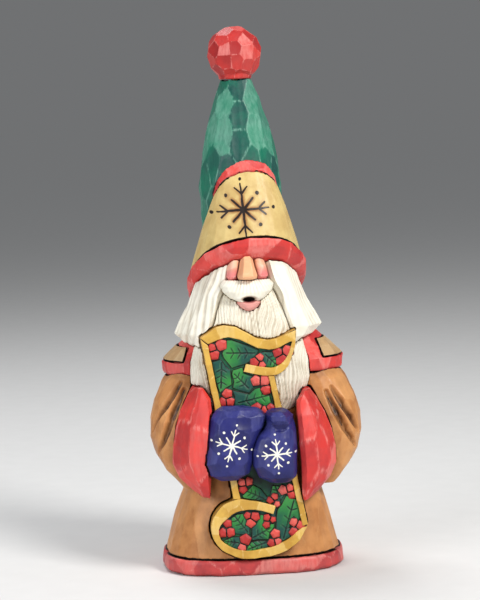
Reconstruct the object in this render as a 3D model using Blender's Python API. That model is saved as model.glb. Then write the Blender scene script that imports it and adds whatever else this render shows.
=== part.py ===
"""A carved and painted wooden gnome, built up from separate blocks that are pegged and glued together.

Run with: blender --background --python part.py
The figure stands on the origin, faces -Y and has +Z up. Left and right are the figure's own, so left is +X.
All sizes below are in millimetres; MM turns them into metres.
"""

import math

import bmesh
import bpy
from mathutils import Matrix, Vector

MM = 0.001
GAP = 0.35  # left between two neighbouring blocks, for the glue
RING_POINTS = 24  # points round a lofted block

# Driving dimensions
TOTAL_HEIGHT = 304.0
POMPOM_RADIUS = 15.6
HEM_HEIGHT = 9.0
ARM_CENTRE_X = 4.6  # the shoulders sit a little to the figure's left of the base
CUFF_CENTRE_X = 1.5
CAPE_CENTRE_X = 5.0
HAT_CENTRE_X = 2.8
BOARD_FRONT = -41.4  # the holly board's painted face
BOARD_BACK = -30.0
RIM_FRONT = -43.6  # face of the gold rims that lie on the board
MITTEN_BACK = -44.0
SEAT_Z = 155.5  # height, on the axis, of the slanted face that the hat rests on
SEAT_SLOPE_Y = -0.55  # the seat rises towards the face
SEAT_SLOPE_X = 0.07  # and a little towards the figure's left
BRIM_HEIGHT = 9.6
DOWEL_RADIUS = 2.5
NECK_DOWEL_RADIUS = 5.0

POMPOM_Z = TOTAL_HEIGHT - POMPOM_RADIUS

PAINTS = {
    "green_paint": ((0.03, 0.21, 0.12), 0.5),
    "red_paint": ((0.60, 0.05, 0.04), 0.5),
    "tan_paint": ((0.52, 0.36, 0.16), 0.5),
    "robe_paint": ((0.43, 0.19, 0.06), 0.5),
    "blue_paint": ((0.03, 0.03, 0.20), 0.4),
    "white_paint": ((0.80, 0.76, 0.66), 0.55),
    "skin_paint": ((0.72, 0.38, 0.22), 0.5),
    "rose_paint": ((0.66, 0.20, 0.18), 0.5),
    "gold_paint": ((0.60, 0.38, 0.08), 0.4),
    "holly_paint": ((0.03, 0.16, 0.05), 0.45),
    "bare_wood": ((0.62, 0.46, 0.28), 0.7),
}


def clear_scene():
    for obj in list(bpy.data.objects):
        bpy.data.objects.remove(obj)


def new_collection(name):
    collection = bpy.data.collections.new(name)
    bpy.context.scene.collection.children.link(collection)
    return collection


clear_scene()
FIGURE = new_collection("carved_gnome")
CUTTERS = new_collection("cutters")


def paint(name):
    """The paint as a material, made the first time it is asked for."""
    made = bpy.data.materials.get(name)
    if made:
        return made
    colour, roughness = PAINTS[name]
    made = bpy.data.materials.new(name)
    made.use_nodes = True
    shader = made.node_tree.nodes["Principled BSDF"]
    shader.inputs["Base Color"].default_value = (*colour, 1.0)
    shader.inputs["Roughness"].default_value = roughness
    shader.inputs["Metallic"].default_value = 0.0
    return made


def block(name, form, finish):
    """A named block of the figure from a closed bmesh, which is freed. Twisted faces are split flat."""
    bmesh.ops.connect_verts_nonplanar(form, angle_limit=math.radians(0.5), faces=form.faces)
    mesh = bpy.data.meshes.new(name)
    bmesh.ops.recalc_face_normals(form, faces=form.faces)
    form.to_mesh(mesh)
    form.free()
    mesh.shade_smooth()
    mesh.set_sharp_from_angle(angle=math.radians(32))
    mesh.materials.append(paint(finish))
    obj = bpy.data.objects.new(name, mesh)
    FIGURE.objects.link(obj)
    return obj


def seat_height(x, y):
    """Height of the hat's slanted seat over a point of the plan."""
    return SEAT_Z + SEAT_SLOPE_Y * y + SEAT_SLOPE_X * (x - HAT_CENTRE_X)


def oval(z, centre_x, centre_y, half_width, half_depth, squareness=2.3, on_seat=False):
    """A ring of points round a rounded rectangle. With on_seat, z counts from the hat's slanted seat."""
    ring = []
    for i in range(RING_POINTS):
        angle = 2 * math.pi * i / RING_POINTS
        c, s = math.cos(angle), math.sin(angle)
        x = centre_x + half_width * math.copysign(abs(c) ** (2 / squareness), c)
        y = centre_y + half_depth * math.copysign(abs(s) ** (2 / squareness), s)
        ring.append(Vector((x, y, z + (seat_height(x, y) if on_seat else 0.0))) * MM)
    return ring


def loft(rings):
    """A closed bmesh through rings of equally many points, from the lowest to the highest."""
    form = bmesh.new()
    loops = [[form.verts.new(point) for point in ring] for ring in rings]
    count = len(loops[0])
    for lower, upper in zip(loops, loops[1:]):
        for i in range(count):
            j = (i + 1) % count
            form.faces.new((lower[i], lower[j], upper[j], upper[i]))
    form.faces.new(reversed(loops[0]))
    form.faces.new(loops[-1])
    return form


def slice_off(form, point, outwards):
    """Saws a bmesh flat, throwing away what lies beyond the plane on its outward side."""
    bmesh.ops.recalc_face_normals(form, faces=form.faces)
    everything = form.verts[:] + form.edges[:] + form.faces[:]
    sawn = bmesh.ops.bisect_plane(
        form,
        geom=everything,
        plane_co=Vector(point) * MM,
        plane_no=Vector(outwards),
        clear_outer=True,
    )
    rim = [item for item in sawn["geom_cut"] if isinstance(item, bmesh.types.BMEdge)]
    bmesh.ops.contextual_create(form, geom=rim)
    return form


def seat_normal():
    return Vector((-SEAT_SLOPE_X, -SEAT_SLOPE_Y, 1.0)).normalized()


def below_seat(form):
    """Saws off what reaches above the hat's seat."""
    return slice_off(form, (HAT_CENTRE_X, 0, SEAT_Z - GAP), seat_normal())


def mirrored(points, side, centre_x):
    """Plan points given as distances outwards from centre_x, on the figure's left (1) or right (-1)."""
    return [(centre_x + side * out, y) for out, y in points]


def section(z, points):
    return [Vector((x, y, z)) * MM for x, y in points]


# Base and robe


def make_hem_band():
    rings = [
        oval(0.0, 1.0, 0, 49.5, 40.0, 3.0),
        oval(1.8, 1.0, 0, 51.6, 42.0, 3.0),
        oval(HEM_HEIGHT - 1.5, 1.0, 0, 51.3, 41.8, 3.0),
        oval(HEM_HEIGHT, 1.0, 0, 50.4, 41.0, 3.0),
    ]
    return block("hem_band", loft(rings), "red_paint")


ROBE_SECTIONS = (
    # height, centre x, half width, half depth
    (HEM_HEIGHT + GAP, 1.0, 49.6, 40.2),
    (28.0, 1.2, 44.6, 39.0),
    (45.0, 2.0, 38.8, 37.3),
    (60.0, 3.0, 35.0, 36.3),
    (80.0, 3.8, 33.5, 35.0),
    (100.0, 3.8, 32.5, 32.0),
    (112.0, 3.6, 29.0, 27.0),
    (122.0, 3.4, 21.0, 20.0),
)


def make_robe_body():
    rings = [oval(z, cx, 0, hw, hd, 2.8) for z, cx, hw, hd in ROBE_SECTIONS]
    return block("robe_body", loft(rings), "robe_paint")


# Arms

SLEEVE_SECTIONS = (
    # height, distance out, centre y, half width, half depth
    (47.5, 38.0, -21, 4.5, 6),
    (52.0, 38.5, -19, 8.0, 11),
    (58.0, 39.5, -15, 12.5, 17),
    (66.0, 40.0, -12, 17.0, 21),
    (76.0, 40.0, -9, 19.8, 24),
    (86.0, 40.0, -7, 19.6, 25),
    (96.0, 38.5, -5, 18.5, 24),
    (106.0, 35.5, -3, 17.0, 22),
    (115.0, 31.0, -1, 15.0, 19),
)


def make_sleeve(name, side):
    rings = [
        oval(z, ARM_CENTRE_X + side * out, cy, hw, hd)
        for z, out, cy, hw, hd in SLEEVE_SECTIONS
    ]
    return block(name, loft(rings), "robe_paint")


CUFF_SECTIONS = (
    # height, inner edge, outer edge, how far forward
    (43.0, 25.5, 31.0, -47.0),
    (47.5, 24.8, 36.5, -48.5),
    (54.0, 24.4, 42.5, -50.0),
    (62.0, 24.0, 45.8, -51.0),
    (72.0, 23.6, 45.4, -51.5),
    (82.0, 23.2, 43.6, -51.0),
    (91.0, 22.8, 40.5, -49.5),
    (98.0, 23.4, 36.5, -47.0),
    (104.0, 27.6, 33.0, -43.0),
)


def make_cuff(name, side, lift):
    rings = []
    for z, inner, outer, front in CUFF_SECTIONS:
        width = outer - inner
        outline = (
            (inner, front + 3),
            (inner + 0.14 * width, front),
            (inner + 0.50 * width, front + 2.5),
            (inner + 0.82 * width, front + 9),
            (outer, front + 17),
            (inner + 0.86 * width, front + 23),
            (inner + 0.06 * width, front + 15),
        )
        rings.append(section(z + lift, mirrored(outline, side, CUFF_CENTRE_X)))
    return block(name, loft(rings), "red_paint")


MITTEN_RIGHT_SECTIONS = (
    # height, centre x, half width, half depth
    (55.2, -14.0, 6.0, 6.0),
    (58.5, -14.2, 11.0, 10.5),
    (65.0, -14.4, 13.0, 12.5),
    (75.0, -13.0, 12.8, 13.0),
    (84.0, -10.8, 14.2, 12.5),
    (90.5, -8.6, 14.6, 11.0),
    (94.5, -9.6, 10.5, 8.5),
    (96.4, -11.0, 6.0, 4.5),
)
MITTEN_LEFT_SECTIONS = (
    (52.8, 14.6, 6.0, 6.0),
    (56.0, 13.8, 9.8, 10.5),
    (62.5, 12.4, 11.6, 12.5),
    (70.0, 12.0, 12.4, 13.0),
    (78.0, 13.4, 11.0, 12.5),
    (85.0, 15.2, 8.6, 10.0),
    (90.0, 16.0, 6.0, 6.5),
)
THUMB_LEFT_SECTIONS = (
    (82.6, 14.8, 4.6, 11.5),
    (86.0, 14.8, 7.2, 14.0),
    (90.6, 14.6, 7.8, 14.2),
    (93.4, 14.4, 6.0, 12.0),
    (95.0, 14.2, 3.2, 9.0),
)


def make_mitten(name, sections):
    """A plump mitten whose palm side is sawn flat, to lie on the board's face."""
    rings = [oval(z, cx, MITTEN_BACK, hw, hd, 2.5) for z, cx, hw, hd in sections]
    form = slice_off(loft(rings), (0, MITTEN_BACK, 0), (0, 1, 0))
    return block(name, form, "blue_paint")


# Shoulder cape

CAPE_SECTIONS = (
    # height, half width, half depth
    (110.0, 50.6, 31.0),
    (112.0, 51.6, 32.0),
    (117.2, 51.9, 32.2),
    (126.0, 42.6, 27.0),
    (134.6, 33.4, 22.0),
)
CAPE_CENTRE_Y = 3.0
FIELD_THICKNESS = 1.6


def cape_size_at(z):
    """Half width and half depth of the cape's sloping top at a height."""
    for (low, w0, d0), (high, w1, d1) in zip(CAPE_SECTIONS, CAPE_SECTIONS[1:]):
        if low <= z <= high:
            share = (z - low) / (high - low)
            return w0 + share * (w1 - w0), d0 + share * (d1 - d0)
    raise ValueError("the cape has no such height")


def make_cape(name, side):
    rings = [
        oval(z, CAPE_CENTRE_X, CAPE_CENTRE_Y, hw, hd, 2.4) for z, hw, hd in CAPE_SECTIONS
    ]
    form = loft(rings)
    slice_off(form, (CAPE_CENTRE_X + side * GAP / 2, 0, 0), (-side, 0, 0))
    return block(name, form, "red_paint")


def make_cape_field(name, side, high, front_low, front_high):
    """The tan field let into the cape's slope, up to a height.

    Its front end starts at one angle low down and at another high up.
    """
    low, back, steps = 118.4, 76.0, 12
    rings = []
    for i in range(steps + 1):
        ring = []
        for z, inset, front in (
            (low, -0.7, front_low),
            (high, -0.7, front_high),
            (high - 1.2, FIELD_THICKNESS, front_high),
            (low - 0.6, FIELD_THICKNESS, front_low),
        ):
            hw, hd = cape_size_at(z)
            angle = math.radians(-front + (back + front) * i / steps)
            sine = math.sin(angle)
            x = CAPE_CENTRE_X + side * (hw - inset) * math.cos(angle) ** (2 / 2.4)
            y = CAPE_CENTRE_Y + (hd - inset) * math.copysign(abs(sine) ** (2 / 2.4), sine)
            ring.append(Vector((x, y, z)) * MM)
        rings.append(ring)
    return block(name, loft(rings), "tan_paint")


# Head


def make_head_block():
    """The face and skull, narrow enough to stand between the side locks."""
    sections = (
        # height, half width, half depth
        (131.0, 13.0, 22.0),
        (136.0, 16.0, 27.0),
        (146.0, 15.0, 31.0),
        (158.0, 12.2, 33.0),
        (170.0, 9.8, 34.0),
        (184.0, 7.0, 33.0),
    )
    rings = [oval(z, 1.5, 0, hw, hd, 2.8) for z, hw, hd in sections]
    return block("head_block", below_seat(loft(rings)), "skin_paint")


def make_nose():
    """A long wedge that widens down to its tip."""
    sections = (
        (164.8, 5.0, -45.5),
        (166.5, 5.5, -46.5),
        (172.0, 4.2, -44.0),
        (179.5, 2.6, -40.0),
    )
    rings = []
    for z, half, front in sections:
        outline = (
            (-half, -32.0),
            (-half, front + 5.0),
            (-0.55 * half, front),
            (0.55 * half, front),
            (half, front + 5.0),
            (half, -32.0),
        )
        rings.append(section(z, [(0.6 + x, y) for x, y in outline]))
    return block("nose", below_seat(loft(rings)), "skin_paint")


def make_cheek(name, side):
    sections = (
        (163.6, 7.5, 2.6, 4.5),
        (166.0, 7.9, 3.7, 6.6),
        (171.0, 7.2, 3.6, 7.0),
        (179.0, 5.6, 2.6, 4.6),
    )
    rings = [
        oval(z, 0.8 + side * out, -32.0, hw, hd) for z, out, hw, hd in sections
    ]
    return block(name, below_seat(loft(rings)), "rose_paint")


def make_moustache():
    sections = (
        (151.8, 4.5, 8.0),
        (154.5, 9.8, 9.6),
        (158.0, 13.6, 10.2),
        (161.5, 14.8, 9.6),
        (164.0, 12.6, 8.0),
    )
    rings = [oval(z, 0.4, -33.5, hw, hd, 2.6) for z, hw, hd in sections]
    return block("moustache", loft(rings), "white_paint")


def make_lower_lip():
    sections = (
        (147.6, 2.5, 8.5),
        (149.2, 5.4, 9.6),
        (151.6, 7.0, 9.8),
        (153.6, 5.6, 9.0),
    )
    rings = [oval(z, 1.0, -32.5, hw, hd) for z, hw, hd in sections]
    return block("lower_lip", loft(rings), "rose_paint")


BEARD_SECTIONS = (
    # height, half width, centre y, half depth
    (88.0, 14.0, -26, 8.5),
    (91.0, 23.0, -25, 12.3),
    (98.0, 30.0, -24, 15.4),
    (108.0, 33.2, -24, 16.4),
    (118.0, 32.8, -23, 17.6),
    (130.0, 29.6, -24, 16.8),
    (140.0, 25.0, -26, 14.4),
    (150.0, 20.4, -26, 13.0),
    (158.0, 17.0, -24, 11.6),
    (163.0, 14.0, -22, 9.0),
)


def make_beard():
    rings = [oval(z, 1.2, cy, hw, hd) for z, hw, cy, hd in BEARD_SECTIONS]
    return block("beard", below_seat(loft(rings)), "white_paint")


HAIR_SECTIONS = (
    # height, inner edge, outer edge
    (126.5, 23.5, 28.0),
    (130.0, 20.8, 36.0),
    (135.5, 19.0, 41.5),
    (142.0, 17.4, 38.6),
    (150.0, 15.4, 34.0),
    (160.0, 13.4, 29.6),
    (172.0, 11.0, 25.5),
    (182.0, 9.0, 23.0),
)


def make_hair(name, side, lift):
    """A side lock: a flat-faced wedge that flares out from under the brim."""
    rings = []
    for z, inner, outer in HAIR_SECTIONS:
        width = outer - inner
        flare = max(0.0, z - 135.5) / 46.5
        outline = (
            (inner, -31.0),
            (inner + 0.22 * width, -37.5 + 3 * flare),
            (inner + 0.62 * width, -31.0),
            (outer, -17.0),
            (outer - 0.08 * width, -3.0),
            (inner + 0.12 * width, -3.0),
        )
        rings.append(section(z + lift, mirrored(outline, side, 1.5)))
    return block(name, below_seat(loft(rings)), "white_paint")


def make_hair_back():
    """The hair over the nape, between the two side locks."""
    sections = (
        (129.0, 27.0, 15.0, 16.0),
        (131.0, 31.0, 15.0, 19.0),
        (136.0, 32.5, 14.0, 20.5),
        (146.0, 30.5, 12.0, 21.0),
        (160.0, 28.0, 10.0, 21.0),
    )
    rings = [oval(z, 1.5, cy, hw, hd) for z, hw, cy, hd in sections]
    form = below_seat(loft(rings))
    slice_off(form, (0, -3.0 + GAP, 0), (0, -1, 0))
    return block("hair_back", form, "white_paint")


# Hat

CONE_SECTIONS = (
    # height, radius
    (133.0, 33.0),
    (145.0, 31.5),
    (158.0, 29.0),
    (170.0, 26.4),
    (182.0, 23.6),
    (194.0, 22.7),
    (206.0, 23.2),
    (215.0, 23.8),
    (226.0, 22.4),
    (238.0, 20.2),
    (250.0, 17.1),
    (262.0, 13.6),
    (274.5, 9.0),
)


def make_hat_cone():
    rings = [oval(z, 1.2, 0, r, r, 2.1) for z, r in CONE_SECTIONS]
    form = slice_off(loft(rings), (HAT_CENTRE_X, 0, SEAT_Z), -seat_normal())
    return block("hat_cone", form, "green_paint")


def make_hat_brim():
    sections = (
        # height over the seat, half width, half depth
        (0.0, 30.6, 35.4),
        (1.6, 32.8, 37.6),
        (4.6, 34.2, 39.6),
        (8.0, 34.0, 39.4),
        (BRIM_HEIGHT, 33.2, 38.6),
    )
    rings = [oval(h, HAT_CENTRE_X, -2.6, hw, hd, 2.1, on_seat=True) for h, hw, hd in sections]
    return block("hat_brim", loft(rings), "red_paint")


FLAP_EDGE = Vector((-0.15, 2.24, 1.0))  # the flap's upper edge lies in a steep plane
FLAP_EDGE_POINT = (0.0, 0.0, 164.2)
FLAP_CENTRE_X = 3.3
FLAP_SECTIONS = (
    # height, half width, half depth
    (140.0, 40.0, 58.0),
    (165.0, 33.4, 50.0),
    (180.0, 29.2, 37.0),
    (194.0, 25.0, 25.5),
    (205.0, 21.2, 17.0),
    (213.0, 18.4, 12.5),
    (224.0, 15.4, 10.5),
    (232.0, 13.2, 9.5),
    (240.0, 11.0, 8.5),
)
PIPING_THICKNESS = 5.0


def flap_outside():
    """The turned-up front of the hat before it is sawn: a slanting oval cone, widest near its edge."""
    rings = []
    for z, half_width, half_depth in FLAP_SECTIONS:
        centre_y = -51.8 + 0.42 * (z - 163.0) + half_depth
        rings.append(oval(z, FLAP_CENTRE_X, centre_y, half_width, half_depth, 2.2))
    form = loft(rings)
    return slice_off(form, (HAT_CENTRE_X, 0, SEAT_Z + BRIM_HEIGHT + GAP), -seat_normal())


def flap_edge_point(distance):
    """A point on the plane that lies this far beyond the flap's upper edge."""
    return Vector(FLAP_EDGE_POINT) + FLAP_EDGE.normalized() * distance


def make_hat_flap():
    form = slice_off(flap_outside(), flap_edge_point(0), FLAP_EDGE)
    return block("hat_flap", form, "tan_paint")


def make_hat_piping():
    form = slice_off(flap_outside(), flap_edge_point(PIPING_THICKNESS), FLAP_EDGE)
    slice_off(form, flap_edge_point(GAP), -FLAP_EDGE)
    return block("hat_piping", form, "red_paint")


def make_pompom():
    form = bmesh.new()
    centre = Matrix.Translation(Vector((0.4, 0, POMPOM_Z)) * MM)
    bmesh.ops.create_icosphere(form, subdivisions=2, radius=POMPOM_RADIUS * MM, matrix=centre)
    return block("pompom", form, "red_paint")


# Holly board, a flat shape with a flag curling from its top and a foot curling from its base

CORNER, SMOOTH = "VECTOR", "AUTO"
BOARD_OUTLINE = (
    (-26.7, 133.5, CORNER),
    (-13.4, 140.2, SMOOTH),
    (10.4, 131.2, SMOOTH),
    (26.2, 136.6, CORNER),
    (24.4, 124.5, SMOOTH),
    (18.5, 113.6, SMOOTH),
    (13.2, 111.4, CORNER),
    (29.3, 27.8, CORNER),
    (22.0, 17.0, SMOOTH),
    (2.0, 10.3, SMOOTH),
    (-16.5, 13.8, SMOOTH),
    (-24.4, 25.0, SMOOTH),
    (-20.8, 37.6, SMOOTH),
    (-11.4, 43.5, CORNER),
)
RIM_LEFT_OUTLINE = (
    (-26.5, 133.0, CORNER),
    (-22.8, 129.6, CORNER),
    (-7.9, 43.9, CORNER),
    (-11.5, 43.9, CORNER),
)
RIM_TOP_OUTLINE = (
    (-26.3, 133.6, CORNER),
    (-13.4, 140.0, SMOOTH),
    (10.4, 131.0, SMOOTH),
    (26.0, 136.2, CORNER),
    (24.2, 124.5, SMOOTH),
    (18.3, 113.7, SMOOTH),
    (10.0, 111.6, SMOOTH),
    (-3.6, 114.3, CORNER),
    (-2.2, 118.5, CORNER),
    (8.0, 116.2, SMOOTH),
    (15.4, 116.6, SMOOTH),
    (20.8, 122.2, SMOOTH),
    (23.8, 130.2, CORNER),
    (10.6, 125.9, SMOOTH),
    (-11.0, 133.6, SMOOTH),
    (-22.5, 130.4, CORNER),
)
RIM_RIGHT_OUTLINE = (
    (10.0, 111.1, CORNER),
    (13.2, 111.1, CORNER),
    (29.1, 27.9, CORNER),
    (26.0, 27.2, CORNER),
)
RIM_FOOT_OUTLINE = (
    (9.9, 34.8, CORNER),
    (11.3, 38.9, CORNER),
    (-2.0, 42.6, SMOOTH),
    (-11.6, 43.2, SMOOTH),
    (-20.8, 37.4, SMOOTH),
    (-24.2, 25.0, SMOOTH),
    (-16.4, 14.0, SMOOTH),
    (2.0, 10.5, SMOOTH),
    (21.8, 17.1, SMOOTH),
    (28.8, 26.8, CORNER),
    (25.8, 26.3, CORNER),
    (14.6, 18.4, SMOOTH),
    (1.0, 15.0, SMOOTH),
    (-11.6, 16.2, SMOOTH),
    (-20.6, 24.4, SMOOTH),
    (-15.8, 33.2, SMOOTH),
    (-3.6, 37.8, SMOOTH),
)


def plate(name, outline, front, back, finish, curve_steps=4):
    """A flat plate of the given outline, seen from the front, between two depths."""
    curve = bpy.data.curves.new(name, "CURVE")
    curve.dimensions = "2D"
    curve.fill_mode = "BOTH"
    curve.resolution_u = curve_steps
    curve.extrude = (back - front) / 2 * MM
    spline = curve.splines.new("BEZIER")
    spline.bezier_points.add(len(outline) - 1)
    spline.use_cyclic_u = True
    for point, (x, z, handle) in zip(spline.bezier_points, outline):
        point.co = Vector((x, z, 0)) * MM
        point.handle_left_type = handle
        point.handle_right_type = handle
    drawn = bpy.data.objects.new(name + "_outline", curve)
    drawn.rotation_euler = (math.pi / 2, 0, 0)
    drawn.location = (0, (front + back) / 2 * MM, 0)
    CUTTERS.objects.link(drawn)
    bpy.context.view_layer.update()
    graph = bpy.context.evaluated_depsgraph_get()
    form = bmesh.new()
    form.from_mesh(bpy.data.meshes.new_from_object(drawn.evaluated_get(graph)))
    form.transform(drawn.matrix_world)
    bpy.data.objects.remove(drawn)
    bmesh.ops.remove_doubles(form, verts=form.verts, dist=0.01 * MM)
    return block(name, form, finish)


def make_holly_board():
    return plate("holly_board", BOARD_OUTLINE, BOARD_FRONT, BOARD_BACK, "holly_paint")


def make_rim(name, outline):
    return plate(name, outline, RIM_FRONT, BOARD_FRONT - GAP, "gold_paint")


# Dowels and the holes they sit in


def rod(name, start, end, radius, sides=12):
    """A closed cylinder between two points, as a bmesh."""
    a, b = Vector(start) * MM, Vector(end) * MM
    form = bmesh.new()
    place = Matrix.Translation((a + b) / 2) @ (b - a).to_track_quat("Z", "Y").to_matrix().to_4x4()
    bmesh.ops.create_cone(
        form,
        cap_ends=True,
        segments=sides,
        radius1=radius * MM,
        radius2=radius * MM,
        depth=(b - a).length,
        matrix=place,
    )
    return form


DOWELS = {
    # name: start, end, radius, the blocks that it pins together
    "pompom_dowel": ((0.8, 0, 256), (0.8, 0, 284), DOWEL_RADIUS, ("hat_cone", "pompom")),
    "hat_dowel": ((1.5, 0, 143), (1.5, 0, 176), NECK_DOWEL_RADIUS, ("head_block", "hat_cone")),
    "neck_dowel": (
        (2.0, 0, 105),
        (2.0, 0, 138),
        NECK_DOWEL_RADIUS,
        ("robe_body", "head_block", "hair_back", "cape_left", "cape_right"),
    ),
    "arm_dowel_left": ((26, 4, 92), (48, 4, 92), DOWEL_RADIUS, ("robe_body", "sleeve_left")),
    "arm_dowel_right": ((-17, 4, 92), (-39, 4, 92), DOWEL_RADIUS, ("robe_body", "sleeve_right")),
    "board_peg_upper": (
        (-8, -37, 104),
        (-8, -16, 104),
        DOWEL_RADIUS,
        ("holly_board", "beard", "robe_body"),
    ),
    "board_peg_lower": ((4, -37, 26), (4, -16, 26), DOWEL_RADIUS, ("holly_board", "robe_body")),
}


# Fitting the blocks together


def cutter_of(obj):
    """A copy of the block, swollen by the glue gap, that cuts its seat in a neighbour."""
    name = obj.name + "_seat"
    made = bpy.data.objects.get(name)
    if made:
        return made
    form = bmesh.new()
    form.from_mesh(obj.data)
    form.normal_update()
    moves = [
        (vert, vert.normal * min(vert.calc_shell_factor(), 5.0)) for vert in form.verts
    ]
    for vert, move in moves:
        vert.co += move * GAP * MM
    mesh = bpy.data.meshes.new(name)
    form.to_mesh(mesh)
    form.free()
    made = bpy.data.objects.new(name, mesh)
    made.hide_render = True
    made.display_type = "WIRE"
    CUTTERS.objects.link(made)
    return made


def cut(obj, cutter):
    modifier = obj.modifiers.new("seat_of_" + cutter.name, "BOOLEAN")
    modifier.operation = "DIFFERENCE"
    modifier.object = cutter
    modifier.solver = "EXACT"


# Each block gives way to those that are listed after it
GIVES_WAY_TO = {
    "mitten_right": ("mitten_left", "thumb_left"),
    "mitten_left": ("thumb_left",),
    "cuff_left": ("mitten_left", "thumb_left", "holly_board", "rim_right", "robe_body"),
    "cuff_right": ("mitten_right", "holly_board", "rim_left", "robe_body"),
    "cheek_left": ("nose",),
    "cheek_right": ("nose",),
    "moustache": ("nose", "cheek_left", "cheek_right", "lower_lip"),
    "hat_piping": ("hat_cone",),
    "hat_flap": ("hat_cone",),
    "hat_brim": ("hat_cone",),
    "hat_cone": ("pompom",),
    "hair_left": ("moustache", "cheek_left", "holly_board", "rim_top"),
    "hair_right": ("moustache", "cheek_right", "holly_board", "rim_top", "rim_left"),
    "beard": (
        "holly_board",
        "rim_top",
        "rim_left",
        "rim_right",
        "moustache",
        "lower_lip",
        "cuff_left",
        "cuff_right",
        "hair_left",
        "hair_right",
    ),
    "head_block": ("nose", "cheek_left", "cheek_right", "moustache", "lower_lip", "beard"),
    "hair_back": ("head_block",),
    "cape_field_left": ("beard", "hair_left"),
    "cape_field_right": ("beard", "hair_right"),
    "cape_left": ("cape_field_left", "beard", "hair_left", "hair_back", "head_block", "robe_body"),
    "cape_right": ("cape_field_right", "beard", "hair_right", "hair_back", "head_block", "robe_body"),
    "sleeve_left": ("cuff_left", "cape_left", "beard", "robe_body"),
    "sleeve_right": ("cuff_right", "cape_right", "beard", "robe_body"),
    "robe_body": ("holly_board", "beard"),
}


def build():
    make_hem_band()
    make_robe_body()
    make_sleeve("sleeve_left", 1)
    make_sleeve("sleeve_right", -1)
    make_cuff("cuff_left", 1, -1.5)
    make_cuff("cuff_right", -1, 2.0)
    make_mitten("mitten_right", MITTEN_RIGHT_SECTIONS)
    make_mitten("mitten_left", MITTEN_LEFT_SECTIONS)
    make_mitten("thumb_left", THUMB_LEFT_SECTIONS)
    make_cape("cape_left", 1)
    make_cape("cape_right", -1)
    make_cape_field("cape_field_left", 1, 128.2, 45, 33)
    make_cape_field("cape_field_right", -1, 126.0, 40, 31)
    make_head_block()
    make_nose()
    make_cheek("cheek_left", 1)
    make_cheek("cheek_right", -1)
    make_moustache()
    make_lower_lip()
    make_beard()
    make_hair("hair_left", 1, 1.5)
    make_hair("hair_right", -1, -1.0)
    make_hair_back()
    make_hat_cone()
    make_hat_brim()
    make_hat_flap()
    make_hat_piping()
    make_pompom()
    make_holly_board()
    make_rim("rim_left", RIM_LEFT_OUTLINE)
    make_rim("rim_top", RIM_TOP_OUTLINE)
    make_rim("rim_right", RIM_RIGHT_OUTLINE)
    make_rim("rim_foot", RIM_FOOT_OUTLINE)
    blocks = bpy.data.objects
    for name, others in GIVES_WAY_TO.items():
        for other in others:
            cut(blocks[name], cutter_of(blocks[other]))
    for name, (start, end, radius, pinned) in DOWELS.items():
        dowel = block(name, rod(name, start, end, radius), "bare_wood")
        for other in pinned:
            cut(blocks[other], cutter_of(dowel))


build()
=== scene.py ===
# %% [markdown]
# # A carved and painted wooden gnome
# The figure is a tomte, a bearded gnome in a tall hat, carved in wood and painted with thin
# acrylics. Its blocks are already cut to size in CAD, and this lesson gives them the surface that a
# carver and a painter leave. All of it could be sculpted by hand, but then no mark could be changed
# later. Here each tool is a short function, so a cut gets deeper, wider or moves by changing one
# number.
#
# The first cell loads the blocks, whose outer box the finished figure must not outgrow. Blender
# counts in metres and a carver in millimetres, so lengths are written in millimetres and turned
# into metres with MM.

# %% Load the blocks
import math

import bpy
import numpy as np
from mathutils import Matrix, Vector
from mathutils.bvhtree import BVHTree


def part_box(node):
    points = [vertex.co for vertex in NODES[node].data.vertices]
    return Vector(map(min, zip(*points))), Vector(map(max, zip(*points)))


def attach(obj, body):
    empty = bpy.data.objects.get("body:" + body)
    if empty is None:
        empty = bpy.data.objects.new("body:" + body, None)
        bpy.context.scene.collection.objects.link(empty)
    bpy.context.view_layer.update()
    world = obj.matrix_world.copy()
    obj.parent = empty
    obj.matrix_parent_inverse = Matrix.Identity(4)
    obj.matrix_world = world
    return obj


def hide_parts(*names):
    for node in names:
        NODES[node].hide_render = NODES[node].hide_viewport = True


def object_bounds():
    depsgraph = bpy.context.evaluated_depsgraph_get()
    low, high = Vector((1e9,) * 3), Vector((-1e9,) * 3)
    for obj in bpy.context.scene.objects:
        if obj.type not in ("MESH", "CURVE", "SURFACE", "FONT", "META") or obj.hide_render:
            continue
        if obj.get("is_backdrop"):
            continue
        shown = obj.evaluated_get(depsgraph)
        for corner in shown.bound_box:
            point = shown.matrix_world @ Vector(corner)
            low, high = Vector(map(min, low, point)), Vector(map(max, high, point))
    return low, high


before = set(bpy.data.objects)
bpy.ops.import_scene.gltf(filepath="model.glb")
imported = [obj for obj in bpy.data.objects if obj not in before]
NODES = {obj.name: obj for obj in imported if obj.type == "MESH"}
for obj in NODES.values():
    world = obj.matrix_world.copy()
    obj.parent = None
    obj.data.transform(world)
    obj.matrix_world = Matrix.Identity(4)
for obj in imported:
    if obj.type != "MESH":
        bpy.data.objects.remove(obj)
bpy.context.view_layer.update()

MM = 0.001

# %% [markdown]
# ## Camera
# The figure is seen from a little to its right and from just above its middle. A short lens close
# by would make the hat taper and the foot spread. A long lens from over a metre away keeps the
# sides nearly parallel, which suits a small carving. to_track_quat aims it without any sums, and a
# roll of two degrees comes last.

# %% Camera
AIM = Vector((-1.2, 0, 150)) * MM
CAMERA_PLACE = Vector((-83.7, -1197.1, 255)) * MM
ROLL = math.radians(-2.05)
LENS_LENGTH = 127.5

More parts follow.
